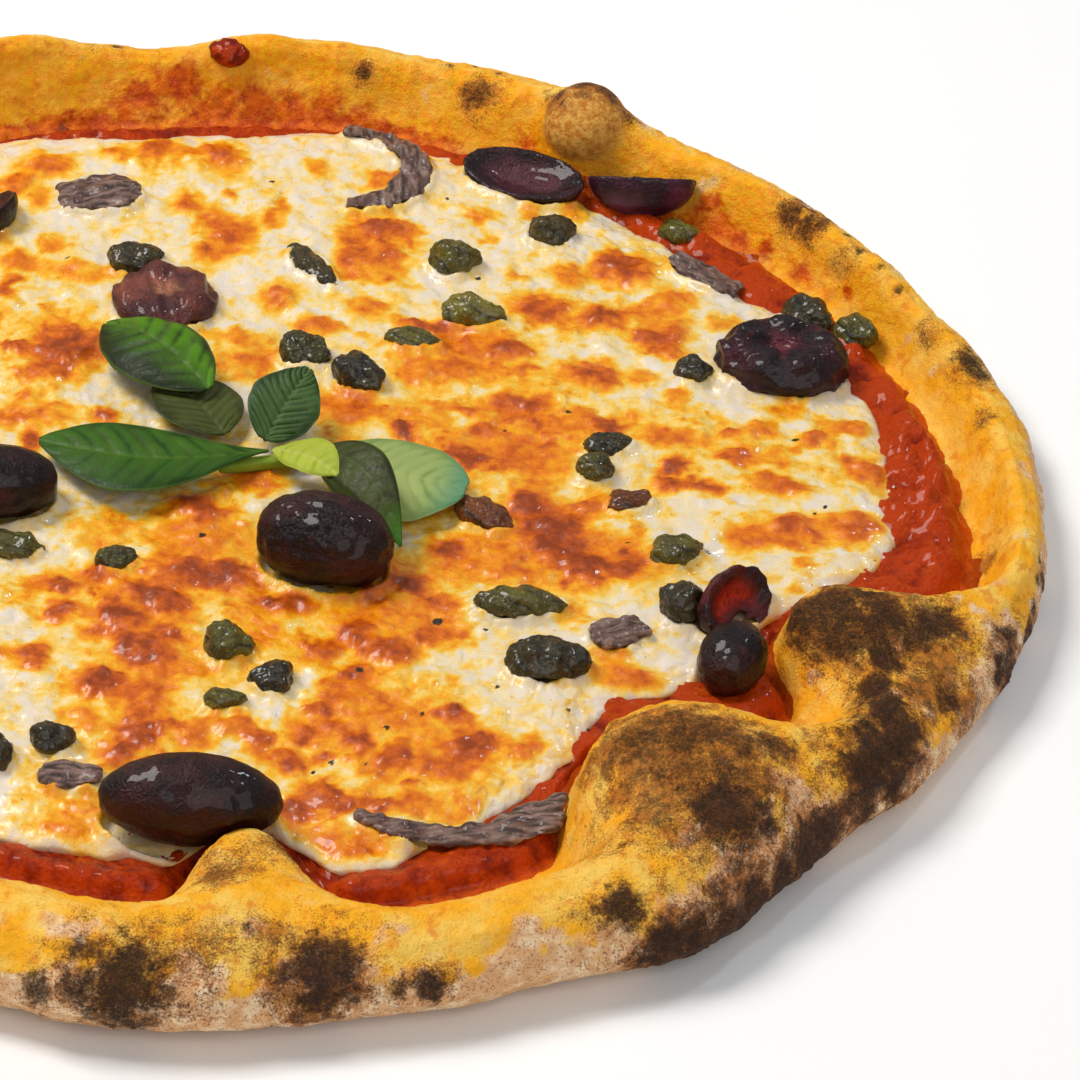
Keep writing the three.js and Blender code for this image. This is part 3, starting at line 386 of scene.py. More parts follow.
def rim_sections():
    """Radius and height of the rim for each angle, from its underside over the crest down to the filling."""
    radii = RIM_RADII
    cosines, sines = directions(CAST_ANGLES)
    tops = np.stack([heights(dough_tree, radii * c, radii * s, 0.0) for c, s in zip(cosines, sines)])
    bulk = np.clip(tops - BASE_LEVEL - 0.2, 0, None)
    middle = blurred((bulk * radii).sum(1) / bulk.sum(1), 3, 0, True)
    foot = blurred(radii[np.argmax(tops > BASE_LEVEL + 0.5, axis=1)], 2, 0, True)
    sections = []
    for k in range(CAST_ANGLES):
        c, s = cosines[k], sines[k]
        top = np.interp(middle[k], radii, tops[k])
        start = Vector((middle[k] * c, middle[k] * s, START_HEIGHT * top))
        outer = []
        for turn in np.radians(np.linspace(-90, 88, OUTER_RAYS)):
            ray = Vector((math.cos(turn) * c, math.cos(turn) * s, math.sin(turn)))
            place = dough_tree.ray_cast(start, ray)[0]
            outer.append((math.hypot(place.x, place.y), place.z))
        inner_radii = np.arange(middle[k], foot[k] - INNER_MARGIN, -0.5)
        inner = np.column_stack([inner_radii, np.interp(inner_radii, radii, tops[k])])
        sections.append(np.vstack([evenly(np.array(outer), OUTER_POINTS), evenly(inner, INNER_POINTS)]))
    return blurred(np.array(sections), 2.0, 0, True)


def more_angles(rows, count):
    """Values round the rim, carried over to another number of angles."""
    old = np.arange(len(rows) + 1) / len(rows)
    new = np.arange(count) / count
    flat = np.concatenate([rows, rows[:1]]).reshape(len(rows) + 1, -1)
    made = np.column_stack([np.interp(new, old, column) for column in flat.T])
    return made.reshape((count,) + rows.shape[1:])


def spotted(points, spots, wobble, soft):
    """How far each point lies in the given spots, each with its share, from 0 to 1."""
    total = np.zeros(len(points))
    for x, y, z, radius, share in spots:
        distance = np.linalg.norm(points - (x, y, z), axis=1) / radius + wobble
        total = np.maximum(total, share * smooth_step(1 + soft, 1 - soft, distance))
    return total


def unseen_spots():
    """Scorched places for the side that the photograph cuts off."""
    draw = np.random.default_rng(11)
    spots = []
    for angle in np.linspace(*UNSEEN_BEARINGS, UNSEEN_RIM_SPOTS):
        turn = math.radians(angle + draw.uniform(-3, 3))
        distance, height = draw.choice([(150, 9), (153, 6), (146, 14), (138, 17)])
        radius = draw.choice([1.5, 2.5, 4, 5.5])
        char = draw.choice([0.1, 0.6, 1.0])
        spots.append((distance * math.cos(turn), distance * math.sin(turn), height, radius, char, 0.8))
    return spots


# The ball-shaped bubble on the far rim: its middle and radius, and the place below it that it swells from.
BUBBLE = (61.0, 123.4, 15.4)
BUBBLE_RADIUS = 8.6
BUBBLE_ROOT = (61.6, 124.6, 4.0)


def swollen(points):
    """Points on the surface pushed out to the ball, as seen from its root, and which ones those are."""
    away = points - BUBBLE_ROOT
    distance = np.linalg.norm(away, axis=1)
    way = away / distance[:, None]
    offset = np.array(BUBBLE) - BUBBLE_ROOT
    along = way @ offset
    inside = BUBBLE_RADIUS**2 - (offset @ offset - along**2)
    reach = along + np.sqrt(np.clip(inside, 0, None))
    hit = (inside > 0) & (along > 0) & (reach > distance)
    return np.where(hit[:, None], BUBBLE_ROOT + way * reach[:, None], points), hit


def make_dough(material):
    rim = more_angles(rim_sections(), RIM_ANGLES)
    last = rim.shape[1] - 1
    tuck = smooth_step(last - TUCKED_COLUMNS, last, np.arange(last + 1))
    rim[..., 1] = mix(rim[..., 1], TUCKED_LEVEL, tuck)
    cosines, sines = directions(RIM_ANGLES)
    grid = np.stack([rim[..., 0] * cosines[:, None], rim[..., 0] * sines[:, None], rim[..., 1]], -1)
    swell, ball = swollen(grid.reshape(-1, 3))
    grid = swell.reshape(grid.shape)
    normals = grid_normals(grid, True)
    points = grid.reshape(-1, 3)
    outward = np.sum(normals[..., :2] * np.stack([cosines, sines], -1)[:, None], axis=2).reshape(-1)
    ball = blurred(blurred(ball.reshape(grid.shape[:2]).astype(float), 1, 0, True), 1, 1).reshape(-1)
    wobble = 0.42 * rough(points, 5, 3) + 0.3 * rough(points, 1.6, 9, 2)
    spots = DOUGH_SPOTS + unseen_spots()
    char = spotted(points, [(x, y, z, 1.1 * r, c) for x, y, z, r, c, b in spots], wobble, 0.75)
    brown = spotted(points, [(x, y, z, 1.45 * r + 1, b) for x, y, z, r, c, b in spots], wobble, 0.85)
    smear = spotted(points, [(x, y, z, 1.25 * r, 1) for x, y, z, r in SMEARS], 0.9 * wobble, 0.8)
    # How high a point lies on the outer flank tells how it baked: golden above, floury below.
    crest = rim[..., 1].max(axis=1, keepdims=True)
    flank = np.where(np.arange(grid.shape[1]) < OUTER_POINTS, rim[..., 1] / crest, 1.1).reshape(-1)
    patchy = 0.3 * rough(points, 13, 21, 2) + 0.2 * rough(points, 4, 23, 2)
    golden = smooth_step(0.45, 1.0, flank + patchy)
    bearing = np.degrees(np.arctan2(points[:, 1], points[:, 0]))
    far_side = smooth_step(75, 25, np.abs(bearing - FAR_BEARING))
    orange = smooth_step(0.1, 0.9, -outward + 0.5 * rough(points, 14, 25, 2)) * smooth_step(0.5, 1, golden)
    orange = np.clip(orange * (0.5 + 1.2 * far_side), 0, 1)
    low = smooth_step(9, 3.5, points[:, 2] + 2.2 * rough(points, 12, 29, 2))
    wiped = smooth_step(0.25, 1.0, 0.45 * rough(points, 4.5, 27, 3) + low)
    smear = joined([smear, 0.85 * wiped * (flank > 1.05) * smooth_step(0.2, 0.7, far_side)])
    smear *= smooth_step(BUBBLE_RADIUS, BUBBLE_RADIUS + 5, np.linalg.norm(points - BUBBLE, axis=1))
    blotch = smooth_step(0.25, 0.9, rough(points, 6, 31, 3))
    brown = joined([brown, 0.5 * blotch * (1 - 0.6 * golden)])
    table_edge = smooth_step(1.7, 0.4, points[:, 2])
    brown = np.maximum(brown, table_edge)
    lift = layered(points, (0.85, 17, 41), (0.45, 7, 42), (0.2, 2.6, 43), (0.12, 1.1, 44))
    lift -= 0.35 * smooth_step(0.4, 1, rough(points, 3.4, 45, 2))
    lift += 0.45 * smooth_step(0.45, 0.1, lumps(points, 5.5, 48)) * smooth_step(0.1, 0.6, rough(points, 20, 49, 2))
    lift += char * layered(points, (0.3, 1.5, 46), (0.16, 0.8, 47)) + 0.3 * smear * noise(points, 2, 50)
    lift = mix(lift, 0.18 * noise(points, 1.4, 51, (3, 1, 1)), ball)
    lift *= smooth_step(0.2, 3.5, points[:, 2])
    moved = points + normals.reshape(-1, 3) * lift[:, None]
    columns = grid.shape[1]
    quads = grid_quads(RIM_ANGLES, columns, True)
    under = np.arange(RIM_ANGLES)[::-1] * columns
    inside = np.arange(RIM_ANGLES) * columns + columns - 1
    mesh = new_mesh(moved, quads, [under, inside])
    finish_piece("baked_dough", mesh, material, "dough", {
        "char": char, "brown": brown, "golden": golden, "orange": orange * (1 - ball), "smear": smear * (1 - ball),
        "ball": ball,
    })
    return moved, quads


# ---------------------------------------------------------------- tomato

SAUCE_ANGLES = 900
SAUCE_RINGS = 30
UNDER_CHEESE = 7  # how far the fine tomato reaches in under the cheese
SAUCE_CUT, CHEESE_CUT = 4.2, 5.6  # heights at which the outlines of the tomato and the cheese are read
SAUCE_BOTTOM = 3.0
SAUCE_TOP = 8.6  # the tomato climbs the dough no higher than this
SOLE_SHARE = 0.93  # size of its underside beside its outline
CHUNKY_BEARING = 15  # the middle of the stretch with coarse lumps
HEAP = (132, 18)  # the middle of the heap of tomato by the right rim
OUTLINE_ANGLES = 360
OUTSIDE = 200  # rays that look in from the side start here


def radius_of(tree, height):
    """How far a node reaches at each angle, at one height."""
    found = []
    for c, s in zip(*directions(OUTLINE_ANGLES)):
        place = tree.ray_cast(Vector((OUTSIDE * c, OUTSIDE * s, height)), Vector((-c, -s, 0)))[0]
        found.append(math.hypot(place.x, place.y))
    return np.array(found)


def make_sauce(material, dough_points, dough_quads, cheese_edge):
    """The tomato ring: level under the cheese, lumpy beside it, and thinning out up the dough."""
    baked_tree = tree_from(dough_points, dough_quads)
    sauce_tree = tree_of("tomato_sauce")
    sauce_edge = more_angles(blurred(radius_of(sauce_tree, SAUCE_CUT), 1.5, 0, True), SAUCE_ANGLES)
    cosines, sines = directions(SAUCE_ANGLES)
    rim = np.column_stack([150 * cosines, 150 * sines, np.zeros(SAUCE_ANGLES)])
    climb = 3.2 + 1.6 * noise(rim, 16, 5) + 0.9 * noise(rim, 5, 6)
    start = more_angles(cheese_edge, SAUCE_ANGLES) - UNDER_CHEESE
    share = np.linspace(0, 1, SAUCE_RINGS)
    radius = mix(start[:, None], (sauce_edge + climb)[:, None], share)
    x, y = radius * cosines[:, None], radius * sines[:, None]
    flat = np.column_stack([x.ravel(), y.ravel(), np.zeros(x.size)])
    floor = np.minimum(heights(baked_tree, flat[:, 0], flat[:, 1], BASE_LEVEL), SAUCE_TOP).reshape(x.shape)
    level = heights(sauce_tree, flat[:, 0], flat[:, 1], 0.0).reshape(x.shape)
    level = blurred(blurred(level, 1.2, 1), 3, 0, True)
    body = np.maximum(level, floor) + 0.15
    thin_out = smooth_step(0.62, 1, share)[None, :]
    top = mix(body, floor - 1.0, thin_out**1.5)
    # Beside a blister the edge turns in sharply, and there the outer part stays under the dough.
    turning = blurred(np.abs(np.gradient(sauce_edge)), 3, 0, True)
    top -= 4 * smooth_step(0.4, 1.2, turning)[:, None] * smooth_step(0.3, 0.75, share)[None, :]
    top = np.maximum(top, SAUCE_BOTTOM)
    pulp = 0.6 * smooth_step(0.7, 0.15, lumps(flat + 1.5 * rough(flat, 4, 7, 2)[:, None], 4.2, 8))
    pulp += 0.3 * smooth_step(0.6, 0.2, lumps(flat + rough(flat, 2, 9, 2)[:, None], 1.9, 63))
    pulp += layered(flat, (0.3, 2.2, 61), (0.15, 1, 62))
    bearing = np.degrees(np.arctan2(flat[:, 1], flat[:, 0]))
    chunky = smooth_step(95, 60, np.abs(bearing - CHUNKY_BEARING))
    pulp += 1.5 * chunky * smooth_step(0.62, 0.2, lumps(flat + 1.2 * rough(flat, 5, 64, 2)[:, None], 8.5, 65))
    heap = smooth_step(14, 4, np.hypot(flat[:, 0] - HEAP[0], 0.45 * (flat[:, 1] - HEAP[1])))
    top = top + (pulp * (0.75 + 1.1 * heap) + 0.9 * heap).reshape(x.shape) * (1 - thin_out)
    upper = np.stack([x, y, top], -1).reshape(-1, 3)
    inner_ring = np.arange(SAUCE_ANGLES) * SAUCE_RINGS
    outer_ring = inner_ring + SAUCE_RINGS - 1
    lower_edge = upper[outer_ring] - (0, 0, 0.8)
    lower_edge[:, 2] = np.maximum(lower_edge[:, 2], 0.6)
    bottom_edge = lower_edge * (SOLE_SHARE, SOLE_SHARE, 0) + (0, 0, SAUCE_BOTTOM - 1)
    below = len(upper) + np.arange(SAUCE_ANGLES)
    bottom = below + SAUCE_ANGLES
    quads = np.vstack([
        grid_quads(SAUCE_ANGLES, SAUCE_RINGS, True), ring_quads(outer_ring, below), ring_quads(below, bottom)
    ])
    mesh = new_mesh(np.vstack([upper, lower_edge, bottom_edge]), quads, [inner_ring[::-1], bottom[::-1]])
    edge = np.append(np.broadcast_to(thin_out, x.shape), np.ones(2 * SAUCE_ANGLES))
    pulp = np.append(pulp, np.zeros(2 * SAUCE_ANGLES))
    finish_piece("wet_tomato", mesh, material, "tomato_sauce", {"edge": edge, "pulp": pulp})


# ---------------------------------------------------------------- cheese

MAP_STEP = 1.0  # cell of the maps that the cheese is made from
MAP_REACH = 150
CHEESE_CELLS = 350
CHEESE_BOTTOM = 4.4
SPOT_REACH = 116  # no browned place by rule lies further out
EDGE_ROUNDING = 4.5  # width of the rounded edge
HEM_SHARE = 0.985  # size of the underside beside the outline
EDGE_THICKNESS, LEAST_BODY = 0.6, 1.3  # of the sheet at its edge, and what its middle has more
TOPPINGS = [name for name in NODES if name.startswith(("olive", "caper", "anchovy", "basil"))]
RESTING = [name for name in TOPPINGS if not name.startswith("basil")]


class CheeseMap:
    """The cheese's upper face as a square map without the hollows under its toppings, how near they are, and painted
    shade.
    """

    def __init__(self):
        ticks = np.arange(-MAP_REACH, MAP_REACH + MAP_STEP, MAP_STEP)
        self.size = len(ticks)
        x, y = np.meshgrid(ticks, ticks, indexing="ij")
        level = heights(tree_of("mozzarella"), x.ravel(), y.ravel()).reshape(x.shape)
        covered, touched = (
            (~np.isnan(heights(tree_of(*names), x.ravel(), y.ravel()))).reshape(x.shape).astype(float)
            for names in (TOPPINGS, RESTING)
        )
        known = (~np.isnan(level) & ~(self.spread(covered, 1.0) > 0.05)).astype(float)
        level = np.where(known > 0, level, 0)
        fine, wide = (self.spread(level, w) / np.maximum(self.spread(known, w), 1e-3) for w in (1.6, 7))
        self.level = mix(wide, fine, smooth_step(0.05, 0.4, self.spread(known, 1.6)))
        self.near = self.spread(touched, 1.3)
        # painted shade: the cheese darkens softly under and round the olives, capers and anchovies that rest on it
        self.shade = self.spread(touched, 4)

    @staticmethod
    def spread(rows, width):
        return blurred(blurred(rows, width / MAP_STEP, 0), width / MAP_STEP, 1)

    def at(self, rows, x, y):
        i = np.clip((x + MAP_REACH) / MAP_STEP, 0, self.size - 1.001)
        j = np.clip((y + MAP_REACH) / MAP_STEP, 0, self.size - 1.001)
        a, b = i.astype(int), j.astype(int)
        u, v = i - a, j - b
        near_row = mix(rows[a, b], rows[a, b + 1], v)
        far_row = mix(rows[a + 1, b], rows[a + 1, b + 1], v)
        return mix(near_row, far_row, u)


def cheese_outline():
    """Radius of the cheese at each angle, with the small tongues of a melted edge."""
    plain = blurred(radius_of(tree_of("mozzarella"), CHEESE_CUT), 1.2, 0, True)
    cosines, sines = directions(OUTLINE_ANGLES)
    rim = np.column_stack([120 * cosines, 120 * sines, np.zeros(OUTLINE_ANGLES)])
    return plain + 1.5 * noise(rim, 14, 51) + 1.1 * noise(rim, 5.5, 52)


def unseen_cheese_spots():
    """Browned places for the part that the photograph cuts off."""
    draw = np.random.default_rng(5)
    spots = []
    while len(spots) < UNSEEN_CHEESE_SPOTS:
        x, y = draw.uniform(-125, UNSEEN_X + 4), draw.uniform(-105, 105)
        if math.hypot(x, y) < SPOT_REACH:
            wide = draw.uniform(2, 5.5)
            deep = wide * draw.uniform(0.6, 1.1)
            spots.append((x, y, wide, deep, draw.uniform(0.1, 1), draw.uniform(0.5, 1)))
    return spots


def unseen_warm_areas():
    """Orange stretches for the part that the photograph cuts off."""
    draw = np.random.default_rng(8)
    places = [(draw.uniform(-112, UNSEEN_X), draw.uniform(-95, 95)) for _ in range(UNSEEN_WARM_AREAS)]
    return [(x, y, draw.uniform(7, 14), draw.uniform(7, 13), draw.uniform(0.4, 0.9)) for x, y in places]


def make_cheese(material, edge, maps):
    """The melted sheet, on a square grid that is bent into its outline."""
    side = np.linspace(-1, 1, CHEESE_CELLS + 1)
    u, v = np.meshgrid(side, side, indexing="ij")
    across, along = u * np.sqrt(1 - v * v / 2), v * np.sqrt(1 - u * u / 2)
    share = np.hypot(across, along)
    angle = np.degrees(np.arctan2(along, across)) % 360
    reach = np.interp(angle, np.arange(361), np.append(edge, edge[0]))
    x, y = across * reach, along * reach
    flat = np.column_stack([x.ravel(), y.ravel(), np.zeros(x.size)])
    warp = 1.9 * np.column_stack([rough(flat, 7, 71), rough(flat, 7, 75)])
    warp += 0.8 * np.column_stack([rough(flat, 2.2, 78, 2), rough(flat, 2.2, 80, 2)])
    bent = flat[:, :2] + warp

    def away(spot):
        """Distance from the middle of a spot, in units of its size."""
        return np.hypot((bent[:, 0] - spot[0]) / spot[2], (bent[:, 1] - spot[1]) / spot[3])

    spots = [(away(spot), *spot[2:]) for spot in CHEESE_SPOTS + unseen_cheese_spots()]
    toast = joined([toasted * smooth_step(1.5, 0.35, d) for d, _, _, toasted, _ in spots])
    oil = joined([0.9 * oily * smooth_step(2.1, 0.5, d) for d, _, _, _, oily in spots])
    dome = np.max([min(w, h) * t * smooth_step(1.25, 0.3, d) for d, w, h, t, _ in spots], axis=0)
    warm = joined([area[4] * smooth_step(1.35, 0.45, away(area)) for area in WARM_AREAS + unseen_warm_areas()])
    mottle = rough(flat, 6, 83, 4)
    warm = np.clip(warm * (0.85 + 0.75 * mottle), 0, 1)
    broad = smooth_step(0.1, 1.2, rough(flat, 15, 86, 3))
    crowd = np.clip(0.45 + 1.2 * warm, 0, 1)
    pocks = smooth_step(0.3, 0.8, rough(flat, 3.6, 87, 3)) * crowd
    oil = joined([oil, 0.95 * warm, 0.35 * broad, 0.5 * pocks])
    toast = joined([toast, 0.55 * pocks * smooth_step(-0.3, 0.5, rough(flat, 10, 90, 2))])
    to_edge = (1 - share.ravel()) * reach.ravel()
    oil *= smooth_step(0, 4, to_edge)
    toast *= smooth_step(0.5, 4, to_edge)
    near = maps.at(maps.near, flat[:, 0], flat[:, 1])
    level = maps.at(maps.level, flat[:, 0], flat[:, 1]) + 0.25
    mound = smooth_step(0.75, 0.1, lumps(np.column_stack([bent + warp, bent]), 8, 95))
    bead = smooth_step(0.55, 0.1, lumps(np.column_stack([bent + 0.4 * warp, bent]), 3.4, 96))
    relief = 0.75 * mound + 0.3 * bead * crowd + 0.3 * np.minimum(dome, 2.6) + 0.25 * pocks
    relief += layered(flat, (0.55, 12, 97), (0.34, 4.6, 98), (0.1, 1.9, 99), (0.04, 0.95, 100))
    relief += toast * layered(flat, (0.2, 1.5, 101), (0.09, 0.75, 102))
    relief += 1.3 * smooth_step(0.06, 0.5, near) - 3.2 * smooth_step(0.6, 0.95, near) - 0.75
    rounding = np.sqrt(np.clip(1 - (1 - np.clip(to_edge / EDGE_ROUNDING, 0, 1)) ** 2, 0, 1))
    floor = CHEESE_BOTTOM + EDGE_THICKNESS
    top = floor + (np.maximum(level, floor + LEAST_BODY) + relief - floor) * rounding
    top = np.maximum(top, CHEESE_BOTTOM + 0.1)
    points = np.column_stack([flat[:, 0], flat[:, 1], top])
    cells = CHEESE_CELLS + 1
    index = np.arange(cells * cells).reshape(cells, cells)
    border = border_of(index)
    hem = points[border] * (HEM_SHARE, HEM_SHARE, 0) + (0, 0, CHEESE_BOTTOM)
    below = len(points) + np.arange(len(border))
    quads = np.vstack([grid_quads(cells, cells), ring_quads(border, below)])
    fleck = np.zeros(x.size)
    for cx, cy, radius in FLECKS:
        distance = np.hypot(flat[:, 0] - cx, flat[:, 1] - cy) / (1.15 * radius)
        fleck = np.maximum(fleck, smooth_step(1.5, 0.7, distance))
    white = smooth_step(0.2, 0.9, rough(flat, 9, 105, 3))
    # painted shade round the resting toppings, read from the map
    painted_shade = maps.at(maps.shade, flat[:, 0], flat[:, 1])
    values = {"toast": toast, "oil": oil, "fleck": fleck, "white": white, "shade": painted_shade}
    values = {key: np.append(numbers, np.zeros(len(border))) for key, numbers in values.items()}
    mesh = new_mesh(np.vstack([points, hem]), quads, [below[::-1]])
    finish_piece("melted_cheese", mesh, material, "mozzarella", values)


# ---------------------------------------------------------------- toppings


def points_of(mesh):
    points = np.empty(len(mesh.vertices) * 3)
    mesh.vertices.foreach_get("co", points)
    return points.reshape(-1, 3) / MM


def with_modifier(mesh, kind, **settings):
    """A copy of a mesh with one modifier applied."""
    carrier = bpy.data.objects.new("carrier", mesh)
    bpy.context.scene.collection.objects.link(carrier)
    modifier = carrier.modifiers.new("step", kind)
    for key, value in settings.items():
        setattr(modifier, key, value)
    made = bpy.data.meshes.new_from_object(carrier.evaluated_get(bpy.context.evaluated_depsgraph_get()))
    bpy.data.objects.remove(carrier)
    return made


SMOOTHING = (0.6, -0.52)  # how far each pass moves a point to the middle of its neighbours, in turn


def remeshed(name, voxel, passes):
    """A node's shape as an even mesh with its facets smoothed away, and where its points lie."""
    mesh = with_modifier(NODES[name].data.copy(), "REMESH", mode="VOXEL", voxel_size=voxel * MM)
    count = len(mesh.vertices)
    points = points_of(mesh)
    edges = np.empty(len(mesh.edges) * 2, int)
    mesh.edges.foreach_get("vertices", edges)
    first, second = edges.reshape(-1, 2).T
    degree = np.bincount(first, minlength=count) + np.bincount(second, minlength=count)
    for turn in range(2 * passes):
        total = np.column_stack([
            np.bincount(first, points[second, k], count) + np.bincount(second, points[first, k], count)
            for k in range(3)
        ])
        points = mix(points, total / degree[:, None], SMOOTHING[turn % 2])
    set_points(mesh, points)
    mesh = with_modifier(mesh, "SUBSURF", levels=1)
    return mesh, points_of(mesh)


def set_points(mesh, points):
    mesh.vertices.foreach_set("co", (points * MM).ravel())
    mesh.update()


def lift_surface(mesh, points, lift):
    """The points moved out along the surface's own directions, each by its own length."""
    normals = np.empty(len(mesh.vertices) * 3)
    mesh.vertex_normals.foreach_get("vector", normals)
    set_points(mesh, points + normals.reshape(-1, 3) * lift[:, None])


def own_axes(points):
    """Coordinates along a piece's longest, middle and shortest direction, from its middle."""
    centred = points - points.mean(0)
    directions = np.linalg.svd(centred[:: max(1, len(points) // 2000)], full_matrices=False)[2]
    return centred @ directions.T


def depth_inside_hull(points):
    """How far each point lies under the piece's convex outside, which tells the hollows."""
    shell = bmesh.new()
    for place in points[::3]:
        shell.verts.new(place)
    bmesh.ops.convex_hull(shell, input=shell.verts)
    tree = BVHTree.FromBMesh(shell)
    shell.free()
    return np.array([tree.find_nearest(Vector(place))[3] for place in points])


# How fine a whole and a thin olive are made, and how often they are smoothed.
OLIVE_VOXEL, OLIVE_PASSES = 0.85, 16
THIN_VOXEL, THIN_PASSES = 0.5, 24
THIN_OLIVES = ("olive_far_half", "olive_far_boat", "olive_far_left", "olive_strip")
# Depth of the coarse and the fine wrinkles of each olive, in millimetres; the others have DEFAULT_WRINKLES.
WRINKLES = {
    "olive_front": (0.16, 0.05), "olive_centre": (0.3, 0.2), "olive_left": (0.24, 0.1), "olive_tip": (0.24, 0.12),
    "olive_strip": (0.3, 0.08), "olive_right_torn": (0.8, 0.14), "olive_back_open": (0.7, 0.16),
    "olive_far_half": (0.14, 0.06), "olive_far_boat": (0.14, 0.06), "olive_far_left": (0.14, 0.06),
}
DEFAULT_WRINKLES = (0.3, 0.08)


def make_olive(name, seed, material):
    mesh, points = remeshed(name, *((THIN_VOXEL, THIN_PASSES) if name in THIN_OLIVES else (OLIVE_VOXEL, OLIVE_PASSES)))
    coarse, fine = WRINKLES.get(name, DEFAULT_WRINKLES)
    own = own_axes(points)
    hollow = smooth_step(0.5, 2.2, depth_inside_hull(points))
    folds = 1 - np.abs(noise(own, 3.6, seed, (2.4, 1, 1)))
    pores = noise(own, 1.6, seed + 1, (1.4, 1, 1)) + 0.35 * noise(own, 1, seed + 2)
    lift = coarse * (2.2 * folds - 1.4) + fine * pores + 0.25 * coarse * rough(own, 7, seed + 3, 2)
    lift_surface(mesh, points, lift)
    finish_piece(name + "_skin", mesh, material, name, {"hollow": hollow, "tint": rough(own, 8, seed + 4, 2)})


FINE_VOXEL, FINE_PASSES = 0.6, 4  # of capers and anchovies
BLOB_VOXEL, BLOB_PASSES = 0.5, 6
STALK_VOXEL, STALK_PASSES = 0.4, 5


def make_caper(name, seed, material):
    mesh, points = remeshed(name, FINE_VOXEL, FINE_PASSES)
    own = own_axes(points)
    round_axis = np.arctan2(own[:, 2], own[:, 1])
    turn = 2 * round_axis + 0.5 * seed + 0.35 * own[:, 0] + 0.8 * noise(own, 5, seed + 3)
    petals = np.abs(np.sin(turn)) ** 0.5
    folds = 1 - np.abs(noise(own, 2.6, seed + 4))
    lift = 0.3 * (petals - 1) + 0.5 * (folds - 0.6)
    lift += layered(own, (0.8, 3.4, seed), (0.2, 1.1, seed + 1), (0.08, 0.6, seed + 5))
    lift_surface(mesh, points, lift)
    tint = noise(np.full_like(own, seed % 17), 5, seed) + 0.4 * noise(own, 4, seed + 2)
    # the folds between the bracts are passed on for the painted shade in them
    finish_piece(name + "_bud", mesh, material, name, {"painted_crease_shade": 1 - petals, "tint": tint})


def make_blob(material):
    mesh, points = remeshed("tomato_blob", BLOB_VOXEL, BLOB_PASSES)
    lift = layered(points, (0.3, 3, 71), (0.2, 1.3, 72), (0.08, 0.7, 73))
    lift_surface(mesh, points, lift)
    values = {"edge": np.zeros(len(points)), "pulp": 0.3 + noise(points, 2, 74)}
    finish_piece("tomato_blob_lump", mesh, material, "tomato_blob", values)


def make_anchovy(name, seed, material):
    mesh, points = remeshed(name, FINE_VOXEL, FINE_PASSES)
    own = own_axes(points)
    ragged = 0.75 * rough(own, 4.2, seed, 2)
    fibres = layered(own, (1, 0.9, seed + 3, (5, 1, 1)), (0.6, 0.45, seed + 4, (5, 1, 1)))
    lift = ragged + 0.16 * fibres + 0.06 * noise(own, 0.9, seed + 5)
    lift_surface(mesh, points, lift)
    values = {"fibre": fibres, "tint": rough(own, 5, seed + 6, 3)}
    finish_piece(name + "_fillet", mesh, material, name, values)


# ---------------------------------------------------------------- basil

# Each leaf's stalk end and tip, its width, how far its middle stands up and aside, how much its edges droop, and
# its roll; then the number of its side veins, their depth, and the depth of its fold along the midrib. A higher
# belly moves its widest place towards the tip, and a lower blunt rounds its ends.
LEAVES = {
    "basil_left": dict(start=(6, 5, 12.4), end=(-37, 2, 11.8), width=19, lift=1.4, bow=6, droop=1.2, roll=-6,
                       veins=6, vein_depth=0.12, fold=1.2, belly=1.5, blunt=0.85, seed=3),
    "basil_under": dict(start=(-3, 11, 11), end=(-16, 30, 10.6), width=18, lift=0.8, bow=0, droop=0.8, roll=4,
                        veins=5, vein_depth=0.25, fold=0.5, belly=0.9, blunt=0.8, seed=5),
    "basil_back": dict(start=(-7, 21, 14), end=(-29, 42, 12.5), width=19, lift=3.5, bow=0, droop=3, roll=-6,
                       veins=4, vein_depth=0.22, fold=0.4, belly=1.0, blunt=0.75, seed=7),
    "basil_small": dict(start=(5, 9, 11.6), end=(12, 24, 18), width=14.5, lift=1, bow=0, droop=0.6, roll=12,
                        veins=6, vein_depth=0.4, fold=1.1, belly=0.8, blunt=0.8, seed=9),
    "basil_pale": dict(start=(16, 3, 12.4), end=(44, -3, 12.8), width=22, lift=1.2, bow=-1, droop=1.4, roll=8,
                       veins=5, vein_depth=0.14, fold=-0.5, belly=1.1, blunt=0.55, seed=11),
    "basil_dark": dict(start=(14, 1, 15.4), end=(33, -23, 13.6), width=10.5, lift=5.5, bow=2, droop=1.2, roll=30,
                       veins=5, vein_depth=0.07, fold=0.6, belly=0.85, blunt=0.9, seed=13),
    "basil_bract": dict(start=(7, 5, 12.5), end=(20, -9, 18), width=8.5, lift=1, bow=1, droop=0.3, roll=25,
                        veins=4, vein_depth=0.06, fold=0.8, belly=1.0, blunt=0.9, seed=15),
}
LEAF_LENGTHWAYS = 90
LEAF_CROSSWAYS = 44
LEAF_THICKNESS = 0.45


